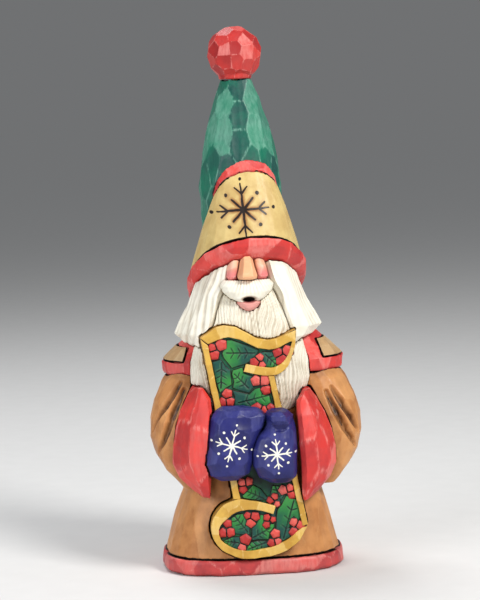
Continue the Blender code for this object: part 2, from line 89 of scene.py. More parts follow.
lens = bpy.data.cameras.new("camera")
lens.lens = LENS_LENGTH
camera = bpy.data.objects.new("camera", lens)
bpy.context.scene.collection.objects.link(camera)
look = (AIM - CAMERA_PLACE).to_track_quat("-Z", "Y").to_matrix()
camera.matrix_world = Matrix.Translation(CAMERA_PLACE) @ (look @ Matrix.Rotation(ROLL, 3, "Z")).to_4x4()
bpy.context.scene.camera = camera
bpy.context.scene.view_settings.view_transform = "Standard"
print("camera", round((CAMERA_PLACE - AIM).length / MM), "mm away")

# %% [markdown]
# ## Floor
# A small carving is usually stood on a roll of pale paper that curves up behind it. Such a sweep
# could be modelled, but its edges show as soon as the camera goes round. One very wide circle has
# no edge near enough to see. The paper gets faint fibres, because a single flat colour looks like
# no material at all.

# %% Floor
FLOOR_RADIUS = 40
FIBRE_SCALE = 60.0
PAPER_DARK, PAPER_LIGHT = 0.66, 0.7

bpy.ops.object.select_all(action="DESELECT")
bpy.ops.mesh.primitive_circle_add(vertices=96, radius=FLOOR_RADIUS, fill_type="NGON")
floor = bpy.context.object
floor.name = "paper_floor"
floor_paint = bpy.data.materials.new("floor_paper")
floor_paint.use_nodes = True
net = floor_paint.node_tree
paper = net.nodes["Principled BSDF"]
fibre = net.nodes.new("ShaderNodeTexNoise")
fibre.inputs["Scale"].default_value = FIBRE_SCALE
paper_place = net.nodes.new("ShaderNodeTexCoord")
tone = net.nodes.new("ShaderNodeMapRange")
tone.inputs["To Min"].default_value = PAPER_DARK
tone.inputs["To Max"].default_value = PAPER_LIGHT
net.links.new(paper_place.outputs["Object"], fibre.inputs["Vector"])
net.links.new(fibre.outputs[0], tone.inputs["Value"])
net.links.new(tone.outputs[0], paper.inputs["Base Color"])
paper.inputs["Roughness"].default_value = 1.0
paper.inputs["Specular IOR Level"].default_value = 0.0
floor.data.materials.append(floor_paint)
floor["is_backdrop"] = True
print("floor", round(floor.dimensions.x), "m across")

# %% [markdown]
# ## Lamps
# Carved facets show only when the light comes more from one side. A single lamp would leave the
# other side black, and a bright sky alone would flatten everything. So there are three: a small
# strong one at the upper right to draw the ridges, a wide weak one at the left to open the shadows,
# and one above and behind to pick out the hat.

# %% Lamps
FIGURE_HEART = Vector((0, 0, 0.14))


def lamp(name, place, size, power, tint=(1.0, 1.0, 1.0)):
    """A square soft lamp, turned to the middle of the figure."""
    light = bpy.data.lights.new(name, "AREA")
    light.size = size
    light.energy = power
    light.color = tint
    made = bpy.data.objects.new(name, light)
    bpy.context.scene.collection.objects.link(made)
    made.location = place
    made.rotation_euler = (FIGURE_HEART - Vector(place)).to_track_quat("-Z", "Y").to_euler()
    print(name, "lamp", round((FIGURE_HEART - Vector(place)).length, 2), "m away")


lamp("key", (0.75, -0.95, 1.05), 0.45, 22.0, (1.0, 0.985, 0.95))
lamp("fill", (-1.05, -0.9, 0.6), 0.8, 10.0, (0.96, 0.98, 1.0))
lamp("top", (-0.3, 0.5, 1.3), 0.6, 9.0)

# %% [markdown]
# ## Sky
# The sky fills the shadows with even light. Where a flat floor ends, the eye looks for a horizon.
# It could be hidden by a wall behind the figure, but not from every side. Instead the camera sees
# the sky a little darker than it shines, about as bright as the far floor, so the two meet without
# a line.

# %% Sky
SKY_STRENGTH = 0.27
HORIZON_MATCH = 0.68  # the sky as the camera sees it, as a share of how it shines

world = bpy.data.worlds.new("studio")
world.use_nodes = True
net = world.node_tree
air = net.nodes["Background"]
air.inputs["Color"].default_value = (0.88, 0.9, 0.92, 1)
seen = net.nodes.new("ShaderNodeLightPath")
strength = net.nodes.new("ShaderNodeMapRange")
strength.inputs["To Min"].default_value = SKY_STRENGTH
strength.inputs["To Max"].default_value = SKY_STRENGTH * HORIZON_MATCH
net.links.new(seen.outputs["Is Camera Ray"], strength.inputs["Value"])
net.links.new(strength.outputs[0], air.inputs["Strength"])
bpy.context.scene.world = world
print("sky strength", SKY_STRENGTH, "and to the camera", round(SKY_STRENGTH * HORIZON_MATCH, 3))

# %% [markdown]
# ## Tools: selecting and measuring
# An operator works on everything that is selected, so only() deselects first. The carving tools
# move thousands of vertices at a time. A loop over them would do, but numpy reads and writes them
# all in one go and is far quicker.

# %% Selecting and measuring
def only(piece):
    """Selects one piece and makes it the active one."""
    bpy.ops.object.select_all(action="DESELECT")
    piece.select_set(True)
    bpy.context.view_layer.objects.active = piece


def points(piece):
    """The piece's vertices in millimetres."""
    flat = np.empty(len(piece.data.vertices) * 3, np.float32)
    piece.data.vertices.foreach_get("co", flat)
    return flat.reshape(-1, 3).astype(np.float64) / MM


def normals(piece):
    """The direction that each vertex faces."""
    flat = np.empty(len(piece.data.vertices) * 3, np.float32)
    piece.data.vertices.foreach_get("normal", flat)
    return flat.reshape(-1, 3).astype(np.float64)


def place(piece, co):
    """Moves the piece's vertices to places in millimetres."""
    piece.data.vertices.foreach_set("co", (co * MM).astype(np.float32).ravel())
    piece.data.update()


print("the hat cone's block has", len(points(NODES["hat_cone"])), "corners")

# %% [markdown]
# ## Tools: marking and pushing
# Paint runs into what a knife cuts, so the paints have to know where the cuts are. A picture laid
# over each piece could tell them, but it would have to be drawn and fitted. mark() keeps a number
# on each vertex instead, an attribute, which the paints read later. ramp() softens the edge of
# nearly every cut and wash, because a tool never stops at a step.

# %% Marking and pushing
def mark(piece, name, values):
    """Writes a number for each vertex, keeping the larger where one is already there."""
    found = piece.data.attributes.get(name)
    if found:
        old = np.empty(len(values), np.float32)
        found.data.foreach_get("value", old)
        values = np.maximum(old, values)
    else:
        found = piece.data.attributes.new(name, "FLOAT", "POINT")
    found.data.foreach_set("value", np.clip(values, 0, 1).astype(np.float32))


def sink(piece, amount):
    """Pushes each vertex in along its normal, in millimetres."""
    place(piece, points(piece) - normals(piece) * amount[:, None])


def ramp(values, low, high):
    """0 below low, 1 above high, and a soft S-curve between."""
    t = np.clip((values - low) / (high - low), 0, 1)
    return t * t * (3 - 2 * t)


def joined(made, name):
    """Makes one piece of a list of pieces."""
    only(made[0])
    for piece in made:
        piece.select_set(True)
    bpy.ops.object.join()
    bpy.context.object.name = name
    return bpy.context.object


print("a ramp at a quarter, half and three quarters is", ramp(np.array((0.25, 0.5, 0.75)), 0, 1))

# %% [markdown]
# ## Tools: the blank
# A carver's blank is a block sawn to its outline. A CAD block has few, long faces, and a tool mark
# needs many small ones. Subdividing would keep the long shapes. The Remesh modifier lays an even
# net of squares over the block instead, at a grain that suits the marks. Glued blocks leave a thin
# gap, so some skins are swollen by a fraction of a millimetre to close it, as filler and paint do.
# A plug is a second solid that the same skin takes in.

# %% Blank: an even skin on a copy of a block
def even_skin(piece, grain, smooth=2):
    """Replaces the faces by even squares about grain millimetres wide."""
    only(piece)
    skin = piece.modifiers.new("Skin", "REMESH")
    skin.mode = "VOXEL"
    skin.voxel_size = grain * MM
    bpy.ops.object.modifier_apply(modifier="Skin")
    if smooth:
        soften = piece.modifiers.new("Soften", "SMOOTH")
        soften.factor = 0.5
        soften.iterations = smooth
        bpy.ops.object.modifier_apply(modifier="Soften")
    bpy.ops.object.shade_smooth()


def copy_of(name, node):
    """A copy of a block, under its own name."""
    made = bpy.data.objects.new(name, NODES[node].data.copy())
    bpy.context.scene.collection.objects.link(made)
    made.data.materials.clear()
    return made


def blank(name, node, grain, smooth=2, swell=0.0, plug=None):
    """A copy of a block with an even skin, swollen a little where it should close up with its neighbours.

    plug is one more solid, which the skin takes in, to fill a socket.
    """
    piece = copy_of(name, node)
    only(piece)
    if plug:
        plug.select_set(True)
        bpy.ops.object.join()
    bpy.ops.object.mode_set(mode="EDIT")
    bpy.ops.mesh.select_all(action="SELECT")
    bpy.ops.mesh.remove_doubles(threshold=0.01 * MM)
    bpy.ops.object.mode_set(mode="OBJECT")
    even_skin(piece, grain, smooth)
    if swell:
        sink(piece, np.full(len(piece.data.vertices), -swell))
    for attribute in ("arris", "cut", "cell", "ink"):
        mark(piece, attribute, np.zeros(len(piece.data.vertices)))
    return piece


print("ready to skin", len(NODES), "blocks")

# %% [markdown]
# ## Tools: where a tool is set down
# Some cuts have a set place on the front of a piece. A ray could be shot at the mesh from the
# front, but it misses when the place lies just off the edge. Taking the vertices near the place and
# keeping the foremost always finds one.

# %% Where a tool is set down
def frontmost(co, spot):
    """The number of the vertex that lies at a place of the front view, nearest to the viewer."""
    gap = np.hypot(co[:, 0] - spot[0], co[:, 2] - spot[1])
    near = np.flatnonzero(gap < max(0.8, gap.min() + 0.3))
    return near[co[near, 1].argmin()]


foremost = points(NODES["nose"])[:, 1].min()
print("the nose's block comes forward to", round(foremost, 1), "mm")

# %% [markdown]
# ## Tools: the gouge
# A gouge leaves a shallow dish. Where two dishes meet, a ridge stays at about the old surface, and
# on a round block a dish as deep as the block's own swell gives a flat facet. Each dish could be
# cut with a Boolean, but hundreds of them are slow and break easily. Here every vertex finds the
# deepest dish over it and sinks by that much. The ridges are marked "arris", and each facet gets a
# random "cell" number for its tone.

# %% Gouge
BATCH = 8000  # vertices at a time, so that the table of distances stays small


def gouge(piece, pitch, depth, stretch=(1, 1, 1), seed=1, share=None, ridge=0.6, first=()):
    """Covers the piece in shallow dishes about pitch apart, longer along an axis that is stretched.

    first lists dishes that have a set place on the front, as (x, z, tone). The others fill up at random.
    """
    co = points(piece)
    q = co / np.array(stretch, float)
    rng = np.random.default_rng(seed)
    free = np.ones(len(q), bool)
    chosen = []
    starts = [frontmost(co, spot[:2]) for spot in first]
    for i in [*starts, *rng.permutation(len(q))]:
        if free[i]:
            chosen.append(i)
            free &= ((q - q[i]) ** 2).sum(1) > pitch**2
    centres = q[chosen]
    deepest = depth * (0.75 + 0.5 * rng.random(len(centres)))
    tone = rng.random(len(centres))
    for i, spot in enumerate(starts):
        if spot in chosen:
            tone[chosen.index(spot)] = first[i][2]
    steep = depth / (0.72 * pitch) ** 2
    cut, arris, cell = (np.zeros(len(q)) for _ in range(3))
    for start in range(0, len(q), BATCH):
        part = q[start : start + BATCH]
        away = (part**2).sum(1)[:, None] + (centres**2).sum(1)[None] - 2 * part @ centres.T
        dish = deepest[None] - steep * away
        winner = dish.argmax(1)
        rows = np.arange(len(part))
        best = dish[rows, winner]
        dish[rows, winner] = -1e9
        gap = (best - dish.max(1)) / (2 * steep * pitch)
        cut[start : start + BATCH] = np.maximum(best, 0)
        arris[start : start + BATCH] = np.exp(-((gap / ridge) ** 2))
        cell[start : start + BATCH] = tone[winner]
    if share is not None:
        cut, arris = cut * share, arris * share
    sink(piece, cut)
    mark(piece, "arris", arris)
    mark(piece, "cell", cell)
    print(piece.name, "has", len(centres), "gouge cuts")


print("dishes are cut in batches of", BATCH, "vertices")

# %% [markdown]
# ## Tools: the V-tool
# Hair and beard are cut with a V-shaped tool in long strokes, side by side. A bump map would look
# right only from the front, while real grooves notch the outline too, so they are cut into the
# mesh. A lane number is worked out for each vertex, and one groove goes to each whole number. No
# two strokes are pressed equally hard.

# %% V-tool
STROKES = 512  # more than any piece has, and each is pressed a little harder or softer


def v_cuts(piece, lane, depth, width=0.5, seed=1, share=None):
    """Cuts side-by-side V grooves. lane counts them across the piece, one groove to each whole number."""
    rng = np.random.default_rng(seed)
    strength = 0.45 + 0.55 * rng.random(STROKES)
    number = np.floor(lane).astype(int)
    off = np.abs(lane - number - 0.5) * 2
    groove = np.clip(1 - off / width, 0, 1) * strength[number % STROKES]
    if share is not None:
        groove = groove * share
    sink(piece, groove * depth)
    mark(piece, "cut", groove)
    print(piece.name, "has", len(np.unique(number)), "V grooves")


print("up to", STROKES, "strokes to a piece")

# %% [markdown]
# ## Tools: a path for the knife
# A fold follows a path of a few points, drawn in the front view. It could be cut straight back from
# there, but on a steep side the cut would smear into a long streak. So the path is laid on the
# surface first and smoothed, and the cut is measured from it in all three directions.

# %% Paths for the knife
def along(spots, path):
    """Distance from each point to a path, and how far along the path it is nearest, from 0 to 1."""
    path = np.array(path, float)
    legs = np.linalg.norm(path[1:] - path[:-1], axis=1)
    total = legs.sum()
    nearest = np.full(len(spots), 1e9)
    share = np.zeros(len(spots))
    done = 0.0
    for a, b, leg in zip(path, path[1:], legs):
        t = np.clip(((spots - a) @ (b - a)) / leg**2, 0, 1)
        gap = np.linalg.norm(spots - (a + t[:, None] * (b - a)), axis=1)
        closer = gap < nearest
        nearest = np.where(closer, gap, nearest)
        share = np.where(closer, (done + t * leg) / total, share)
        done += leg
    return nearest, share


SOFTENED = 12  # rounds of evening out a path, once it lies on the wood


def laid_on(piece, path, steps=6):
    """A path of (x, z) points in the front view, laid on the front of the piece as (x, y, z) points."""
    co = points(piece)
    path = np.array(path, float)
    drawn = [a + (b - a) * i / steps for a, b in zip(path, path[1:]) for i in range(steps)] + [path[-1]]
    laid = np.array([co[frontmost(co, spot)] for spot in drawn])
    for _ in range(SOFTENED):
        laid[1:-1] = (laid[:-2] + 2 * laid[1:-1] + laid[2:]) / 4
    return laid


gap, share = along(np.array([(1.0, 1.0)]), ((0, 0), (4, 0)))
print("a point beside a path:", gap[0], "mm off it,", share[0], "of the way along")

# %% [markdown]
# ## Tools: the knife
# A fold is two knife cuts that meet at the bottom, wide in the middle and thin at the ends. The
# brush later catches the lip on each side, dark wash stays in the cut, and its bottom is painted
# near-black, which is painted shade deep in the fold. A modelled strip or a Boolean wedge would have
# an even width. Sinking the skin by the distance from the path lets the width and depth change along it.

# %% Knife
LIP_PLACE, LIP_WIDTH = 0.4, 0.45


def crease(piece, path, width, depth, front=1.0, tapered=True, deepest=0.6):
    """One deep knife cut along a path, widest at its middle, with a dry-brushed lip on each side."""
    gap, share = along(points(piece) if len(path[0]) == 3 else points(piece)[:, (0, 2)], path)
    ends = 1.0
    if tapered:
        ends = np.sin(np.pi * np.clip(share * 0.92 + 0.08, 0, 1)) ** 0.5
    half = width * (0.1 + 0.9 * ends)
    groove = np.clip(1.8 * (1 - gap / half), 0, 1) * ends * front
    sink(piece, groove * depth)
    mark(piece, "cut", ramp(groove, 0.15, 0.8))
    # painted shade: the bottom of the cut is painted near-black, as dark as shade deep in a fold
    mark(piece, "ink", deepest * ramp(1 - gap / half, 0.6, 1.0) * front * (ends > 0.2))
    lip = np.exp(-(((gap - half - LIP_PLACE) / LIP_WIDTH) ** 2))
    mark(piece, "arris", 0.8 * lip * front * (ends > 0.3))


print("the dry-brushed lip lies", LIP_PLACE, "mm outside a cut")

# %% [markdown]
# ## Tools: the painted outline
# A dark line is painted wherever two colours meet. It could be drawn on a UV map, but each block's
# neighbours already say where it goes. The distance to the neighbour's surface gives a line that
# follows every curve. In the "cut" layer the same distance leaves a soft brown darkening near the
# neighbour, which is painted shade in the corners where blocks meet.

# %% Outline
LINE_CORE, LINE_EDGE = 0.55, 1.3  # where the line starts to fade and is gone, as shares of its reach
OUT_OF_REACH = 9  # metres


def outline(piece, *nodes, reach=0.9, strength=1.0, layer="ink"):
    """Marks the vertices that lie within reach of other blocks, in millimetres."""
    corners, faces = [], []
    for node in nodes:
        mesh = NODES[node].data
        base = len(corners)
        corners += [v.co.copy() for v in mesh.vertices]
        faces += [[base + v for v in polygon.vertices] for polygon in mesh.polygons]
    tree = BVHTree.FromPolygons(corners, faces)
    search = 3 * reach * MM
    gaps = [tree.find_nearest(v.co, search)[3] or OUT_OF_REACH for v in piece.data.vertices]
    gaps = np.array(gaps) / MM
    mark(piece, layer, strength * (1 - ramp(gaps, LINE_CORE * reach, LINE_EDGE * reach)))


print("an outline is gone at", LINE_EDGE, "times its reach")

# %% [markdown]
# ## Paint: helpers
# A material is a net of nodes, and adding and linking one node takes several lines. put() does it
# in one call: a value that is a socket is linked, and any other is set. The next few name the steps
# that come most often. rgb() turns the code on a pot of paint into the linear numbers that Blender
# mixes.

# %% Shader helpers
def put(tree, kind, inputs=None, out=0, **settings):
    """Adds a node, sets or links its inputs, and returns one output."""
    made = tree.nodes.new(kind)
    for key, value in settings.items():
        setattr(made, key, value)
    for key, value in (inputs or {}).items():
        if isinstance(value, bpy.types.NodeSocket):
            tree.links.new(value, made.inputs[key])
        else:
            made.inputs[key].default_value = value
    return made.outputs[out]


def sums(tree, operation, *values, clamp=False):
    """One step of arithmetic on sockets or numbers."""
    return put(tree, "ShaderNodeMath", dict(enumerate(values)), operation=operation, use_clamp=clamp)


def blend(tree, share, first, second):
    """Mixes two colours. The Mix node keeps its colour inputs at places 6 and 7."""
    inputs = {"Factor": share, 6: first, 7: second}
    return put(tree, "ShaderNodeMix", inputs, out=2, data_type="RGBA")


def scale_to(tree, value, low, high, new_low=0.0, new_high=1.0):
    """Turns the range low to high into a new range, with soft ends."""
    inputs = {"Value": value, "From Min": low, "From Max": high}
    inputs.update({"To Min": new_low, "To Max": new_high})
    return put(tree, "ShaderNodeMapRange", inputs, interpolation_type="SMOOTHSTEP")


def noise(tree, where, scale, detail, rough=0.5, out=0):
    """A noise texture read at a place: its value, or with out=1 its colour."""
    inputs = {"Vector": where, "Scale": scale, "Detail": detail, "Roughness": rough}
    return put(tree, "ShaderNodeTexNoise", inputs, out=out)


def rgb(code):
    """A colour as a pot's label gives it, such as C9AE6B, in the linear numbers that shaders use."""
    parts = [int(code[i : i + 2], 16) / 255 for i in (0, 2, 4)]
    linear = [c / 12.92 if c <= 0.04045 else ((c + 0.055) / 1.055) ** 2.4 for c in parts]
    return (*linear, 1.0)


def shader_group(name, inputs, outputs):
    """An empty group with named sockets. Returns its tree, what it is given and what it gives."""
    tree = bpy.data.node_groups.new(name, "ShaderNodeTree")
    for label, kind, value in inputs:
        kind = "NodeSocket" + kind
        socket = tree.interface.new_socket(label, in_out="INPUT", socket_type=kind)
        socket.default_value = value
    for label, kind in outputs:
        tree.interface.new_socket(label, in_out="OUTPUT", socket_type="NodeSocket" + kind)
    given = tree.nodes.new("NodeGroupInput").outputs
    result = tree.nodes.new("NodeGroupOutput").inputs
    return tree, given, result


print("C9AE6B is", [round(c, 3) for c in rgb("C9AE6B")], "to a shader")

# %% [markdown]
# ## Paint: thin acrylic on carved wood
# All the colours are thin acrylics over bare wood, so they cover and wear in the same way. Each
# could have its own net, but one shader group, built once, keeps them alike, and each material
# gives it its own colours and amounts. It follows the painter's order: base and patches, the nearly
# dry pale brush on the ridges, a dark wash that settles in the cuts, and the outlines last. The same
# wash colour also paints shade where the "cut" layer marks it: in corners where blocks meet and on
# the board under the mittens. It gives out only a colour, a roughness and a height.

# %% Shader group: paint on carved wood
OUTLINE_COLOUR = "1C130E"


def make_carved_paint():
    """Colour, roughness and height of thin paint over the marks that the tools left."""
    tree, given, result = shader_group(
        "carved_paint",
        [
            ("Paint", "Color", (0.5, 0.1, 0.1, 1)),
            ("Second", "Color", (0.3, 0.1, 0.1, 1)),
            ("Wash", "Color", (0.05, 0.02, 0.01, 1)),
            ("Pale", "Color", (0.9, 0.85, 0.8, 1)),
            ("Patches", "Float", 0.5),
            ("Facets", "Float", 0.4),
            ("Brushing", "Float", 0.8),
            ("Washing", "Float", 0.9),
        ],
        [("Color", "Color"), ("Roughness", "Float"), ("Height", "Float")],
    )
    here = put(tree, "ShaderNodeTexCoord", out=3)
    long_way = put(tree, "ShaderNodeMapping", {"Vector": here, "Scale": (1.0, 1.0, 0.22)})
    patches = noise(tree, here, 95.0, 4.0, 0.6)
    streaks = noise(tree, long_way, 620.0, 3.0, 0.65)
    grain = noise(tree, long_way, 1900.0, 2.0)
    arris, cut, cell, ink = (
        put(tree, "ShaderNodeAttribute", out=2, attribute_name=name)
        for name in ("arris", "cut", "cell", "ink")
    )
    # patches of the second colour, and more of it on the dark facets
    mixed = sums(tree, "MULTIPLY", scale_to(tree, patches, 0.34, 0.68), given["Patches"])
    dark = sums(tree, "MULTIPLY", scale_to(tree, cell, 0.75, 0.0), given["Facets"])
    mixed = sums(tree, "ADD", mixed, dark, clamp=True)
    colour = blend(tree, mixed, given["Paint"], given["Second"])
    # the nearly dry brush, on the ridges and as a broken veil over the light facets
    broken = scale_to(tree, streaks, 0.4, 0.62, 0.05, 1.0)
    edge = sums(tree, "MULTIPLY", sums(tree, "POWER", arris, 1.3), sums(tree, "MULTIPLY", broken, 0.62))
    worn = scale_to(tree, patches, 0.3, 0.6, 0.5, 1.0)
    veil = sums(tree, "MULTIPLY", scale_to(tree, streaks, 0.3, 0.66, 0.45, 1.0), worn)
    scumble = sums(tree, "MULTIPLY", veil, scale_to(tree, cell, 0.45, 1.0, 0.04, 0.62))
    brushed = sums(tree, "MAXIMUM", edge, scumble)
    brushed = sums(tree, "MULTIPLY", brushed, given["Brushing"], clamp=True)
    colour = blend(tree, brushed, colour, given["Pale"])
    # the wash that settles in the cuts, and the painted shade that the "cut" layer puts in corners where
    # blocks meet and under the mittens
    wash_and_painted_shade = sums(tree, "MULTIPLY", cut, scale_to(tree, patches, 0.3, 0.7, 0.6, 1.15))
    wash_and_painted_shade = sums(tree, "MULTIPLY", wash_and_painted_shade, given["Washing"], clamp=True)
    colour = blend(tree, wash_and_painted_shade, colour, given["Wash"])
    # the outline, with a slightly uneven edge, and the near-black painted shade at the bottom of folds
    # and in the mouth
    drawn = sums(tree, "ADD", ink, scale_to(tree, streaks, 0.3, 0.7, -0.16, 0.16))
    colour = blend(tree, scale_to(tree, drawn, 0.3, 0.62), colour, rgb(OUTLINE_COLOUR))
    tree.links.new(colour, result["Color"])
    tree.links.new(scale_to(tree, streaks, 0.3, 0.7, -0.07, 0.07), result["Roughness"])
    height = sums(tree, "ADD", sums(tree, "MULTIPLY", streaks, 0.6), sums(tree, "MULTIPLY", grain, 0.4))
    tree.links.new(height, result["Height"])
    return tree


CARVED_PAINT = make_carved_paint()
print(CARVED_PAINT.name, "group with", len(CARVED_PAINT.nodes), "nodes")

# %% [markdown]
# ## Paint: distance to a stroke
# A painted line is every place that is near enough to a stroke. An image of the line would blur
# when seen close. The distance to a straight stroke is a short sum, done in Math nodes, and stays
# sharp at any size.

# %% Distance to a stroke
def length(tree, x, y):
    """How far a place is from the middle, from its two sides."""
    return sums(tree, "SQRT", sums(tree, "MULTIPLY_ADD", x, x, sums(tree, "MULTIPLY", y, y)))


def to_stroke(tree, x, y, start, end):
    """Distance from the point (x, y) to a straight stroke. The ends may be numbers or sockets."""
    run = [sums(tree, "SUBTRACT", b, a) for a, b in zip(start, end)]
    gone = [sums(tree, "SUBTRACT", p, a) for p, a in zip((x, y), start)]
    dot = sums(tree, "MULTIPLY_ADD", gone[0], run[0], sums(tree, "MULTIPLY", gone[1], run[1]))
    long = sums(tree, "MULTIPLY_ADD", run[0], run[0], sums(tree, "MULTIPLY", run[1], run[1]))
    share = sums(tree, "DIVIDE", dot, sums(tree, "MAXIMUM", long, 1e-6), clamp=True)
    rest = [sums(tree, "SUBTRACT", g, sums(tree, "MULTIPLY", r, share)) for g, r in zip(gone, run)]
    return length(tree, *rest)


print("a stroke is measured from two ends")

# %% [markdown]
# ## Paint: a shaken place
# A snowflake is burnt into the hat and painted in white on both mittens. It could be modelled as
# thin strips, but they would stand off the curved wood. Worked out from the object's own
# coordinates, it lies in the surface. A little noise shakes the strokes as a hand does.

# %% Snowflake: a shaken place
def shaken_place(tree, given):
    """Across and up from the snowflake's centre, in millimetres, with the shake of a hand."""
    here = put(tree, "ShaderNodeTexCoord", out=3)
    shaken = noise(tree, here, 260.0, 1.0, out=1)
    shift = put(tree, "ShaderNodeVectorMath", {0: shaken, 1: (0.5, 0.5, 0.5)}, operation="SUBTRACT")
    parts = []
    for axis, centre in (("X", "Across"), ("Z", "Up")):
        raw = put(tree, "ShaderNodeSeparateXYZ", {"Vector": here}, out="XYZ".index(axis))
        bent = put(tree, "ShaderNodeSeparateXYZ", {"Vector": shift}, out="XYZ".index(axis))
        value = sums(tree, "SUBTRACT", sums(tree, "MULTIPLY", raw, 1000.0), given[centre])
        parts.append(sums(tree, "MULTIPLY_ADD", bent, given["Shake"], value))
    return parts


print("a snowflake is drawn on the front view's two axes, X and Z")

# %% [markdown]
# ## Paint: the snowflake's arms
# It has eight arms, four of them barbed, and a ring of dots. Each arm could be drawn on its own.
# The plane is folded into equal slices instead, like paper before it is cut, so one arm of each
# kind is enough.

# %% Snowflake: its arms
EIGHTH = math.pi / 4
SHORT_ARM, SHORT_DOT = 0.58, 0.72
BARB_FOOT, BARB_TIP, BARB_SIDE = 0.6, 0.86, 0.24
ARMS = (
    # turned by, whether it is barbed, its length, and its dot's place
    (0.0, True, 1.0, 1.0),
    (EIGHTH, False, SHORT_ARM, SHORT_DOT),
)


def arm_strokes(tree, given, radius, angle, turned, barbed, arm, dot_place):
    """How far a place is from the nearest arm of one kind, from its barb and from its dot."""
    reach = given["Reach"]
    folded = sums(tree, "WRAP", sums(tree, "SUBTRACT", angle, turned), EIGHTH, -EIGHTH)
    folded = sums(tree, "ABSOLUTE", folded)
    u = sums(tree, "MULTIPLY", radius, sums(tree, "COSINE", folded))
    v = sums(tree, "MULTIPLY", radius, sums(tree, "SINE", folded))
    tip = sums(tree, "MULTIPLY", reach, arm)
    strokes = [to_stroke(tree, u, v, (0.0, 0.0), (tip, 0.0))]
    if barbed:
        foot, out, aside = (
            sums(tree, "MULTIPLY", reach, part) for part in (BARB_FOOT, BARB_TIP, BARB_SIDE)
        )
        strokes.append(to_stroke(tree, u, v, (foot, 0.0), (out, aside)))
    far = sums(tree, "MULTIPLY", reach, dot_place)
    far = sums(tree, "MULTIPLY", far, given["Dots"])
    dot = to_stroke(tree, u, v, (far, 0.0), (far, 0.0))
    strokes.append(sums(tree, "SUBTRACT", dot, sums(tree, "MULTIPLY", given["Line"], 0.5)))
    return strokes


print(len(ARMS), "kinds of arm, each drawn", round(2 * math.pi / (2 * EIGHTH)), "times")

# %% [markdown]
# ## Paint: the snowflake
# The nearest stroke gives the line, which thins towards the tips, and a softer halo round it, for
# the scorch that a hot tip leaves. As a group with named inputs, the same drawing serves the burnt
# line and the white paint.

# %% Shader group: snowflake
def make_snowflake():
    """Eight arms, four of them barbed, with a ring of dots, all in millimetres in the front view."""
    tree, given, result = shader_group(
        "snowflake",
        [
            ("Across", "Float", 0.0),
            ("Up", "Float", 0.0),
            ("Reach", "Float", 10.0),
            ("Line", "Float", 1.0),
            ("Turn", "Float", 0.0),
            ("Shake", "Float", 0.5),
            ("Dots", "Float", 1.2),
        ],
        [("Mask", "Float"), ("Halo", "Float")],
    )
    x, z = shaken_place(tree, given)
    radius = length(tree, x, z)
    angle = sums(tree, "ADD", sums(tree, "ARCTAN2", z, x), given["Turn"])
    strokes = []
    for arm in ARMS:
        strokes += arm_strokes(tree, given, radius, angle, *arm)
    nearest = strokes[0]
    for stroke in strokes[1:]:
        nearest = sums(tree, "MINIMUM", nearest, stroke)
    outwards = sums(tree, "DIVIDE", radius, given["Reach"])
    half = sums(tree, "MULTIPLY", given["Line"], sums(tree, "MULTIPLY_ADD", outwards, -0.28, 0.66))
    tree.links.new(scale_to(tree, sums(tree, "SUBTRACT", nearest, half), 0.14, -0.14), result["Mask"])
    near = scale_to(tree, nearest, 2.4, 0.5, 0.0, 0.85)
    centre = scale_to(tree, outwards, 1.15, 0.3)
    tree.links.new(sums(tree, "MULTIPLY", near, centre), result["Halo"])
    return tree


SNOWFLAKE = make_snowflake()
print(SNOWFLAKE.name, "group with", len(SNOWFLAKE.nodes), "nodes")

# %% [markdown]
# ## Paint: a pot
# A pot of paint is one material. It could be copied from a first one and changed, but then a later
# change has to be made in each. A function builds every pot alike. The dried brush strokes stand up
# a little, which the Bump node shows, and the surface is the soft sheen of acrylic under a thin
# wax.

# %% A pot of paint
BRUSH_RELIEF = 0.05  # millimetres


def paint(name, *colours, washing=0.9, rough=0.46):
    """A material with the carved_paint group.

    The colours are the base, the second, the wash and the pale brush, and then how much of the second
    colour there is in patches and on facets, and how much brushing.
    """
    base, second, wash, pale, patches, facets, brushing = colours
    made = bpy.data.materials.new(name)
    made.use_nodes = True
    tree = made.node_tree
    shader = tree.nodes["Principled BSDF"]
    mixer = tree.nodes.new("ShaderNodeGroup")
    mixer.name = "paint"
    mixer.node_tree = CARVED_PAINT
    for key, value in zip(("Paint", "Second", "Wash", "Pale"), (base, second, wash, pale)):
        mixer.inputs[key].default_value = rgb(value)
    amounts = (patches, facets, brushing, washing)
    for key, value in zip(("Patches", "Facets", "Brushing", "Washing"), amounts):
        mixer.inputs[key].default_value = value
    tree.links.new(mixer.outputs["Color"], shader.inputs["Base Color"])
    tree.links.new(sums(tree, "ADD", mixer.outputs["Roughness"], rough), shader.inputs["Roughness"])
    bump = {"Height": mixer.outputs["Height"], "Strength": 0.5, "Distance": BRUSH_RELIEF * MM}
    tree.links.new(put(tree, "ShaderNodeBump", bump), shader.inputs["Normal"])
    shader.inputs["Specular IOR Level"].default_value = 0.35
    return made


print("brush marks stand", BRUSH_RELIEF, "mm high")

# %% [markdown]
# ## Paint: the pots on the bench
# The figure has red, green, blue, brown, tan, gold and cream paint, pink for the cheeks and lip,
# and two dark ones for the board. The reds and tans could share one pot each, but hand-mixed paint
# differs a little from block to block. A table keeps them side by side, where they are easy to
# compare and change.

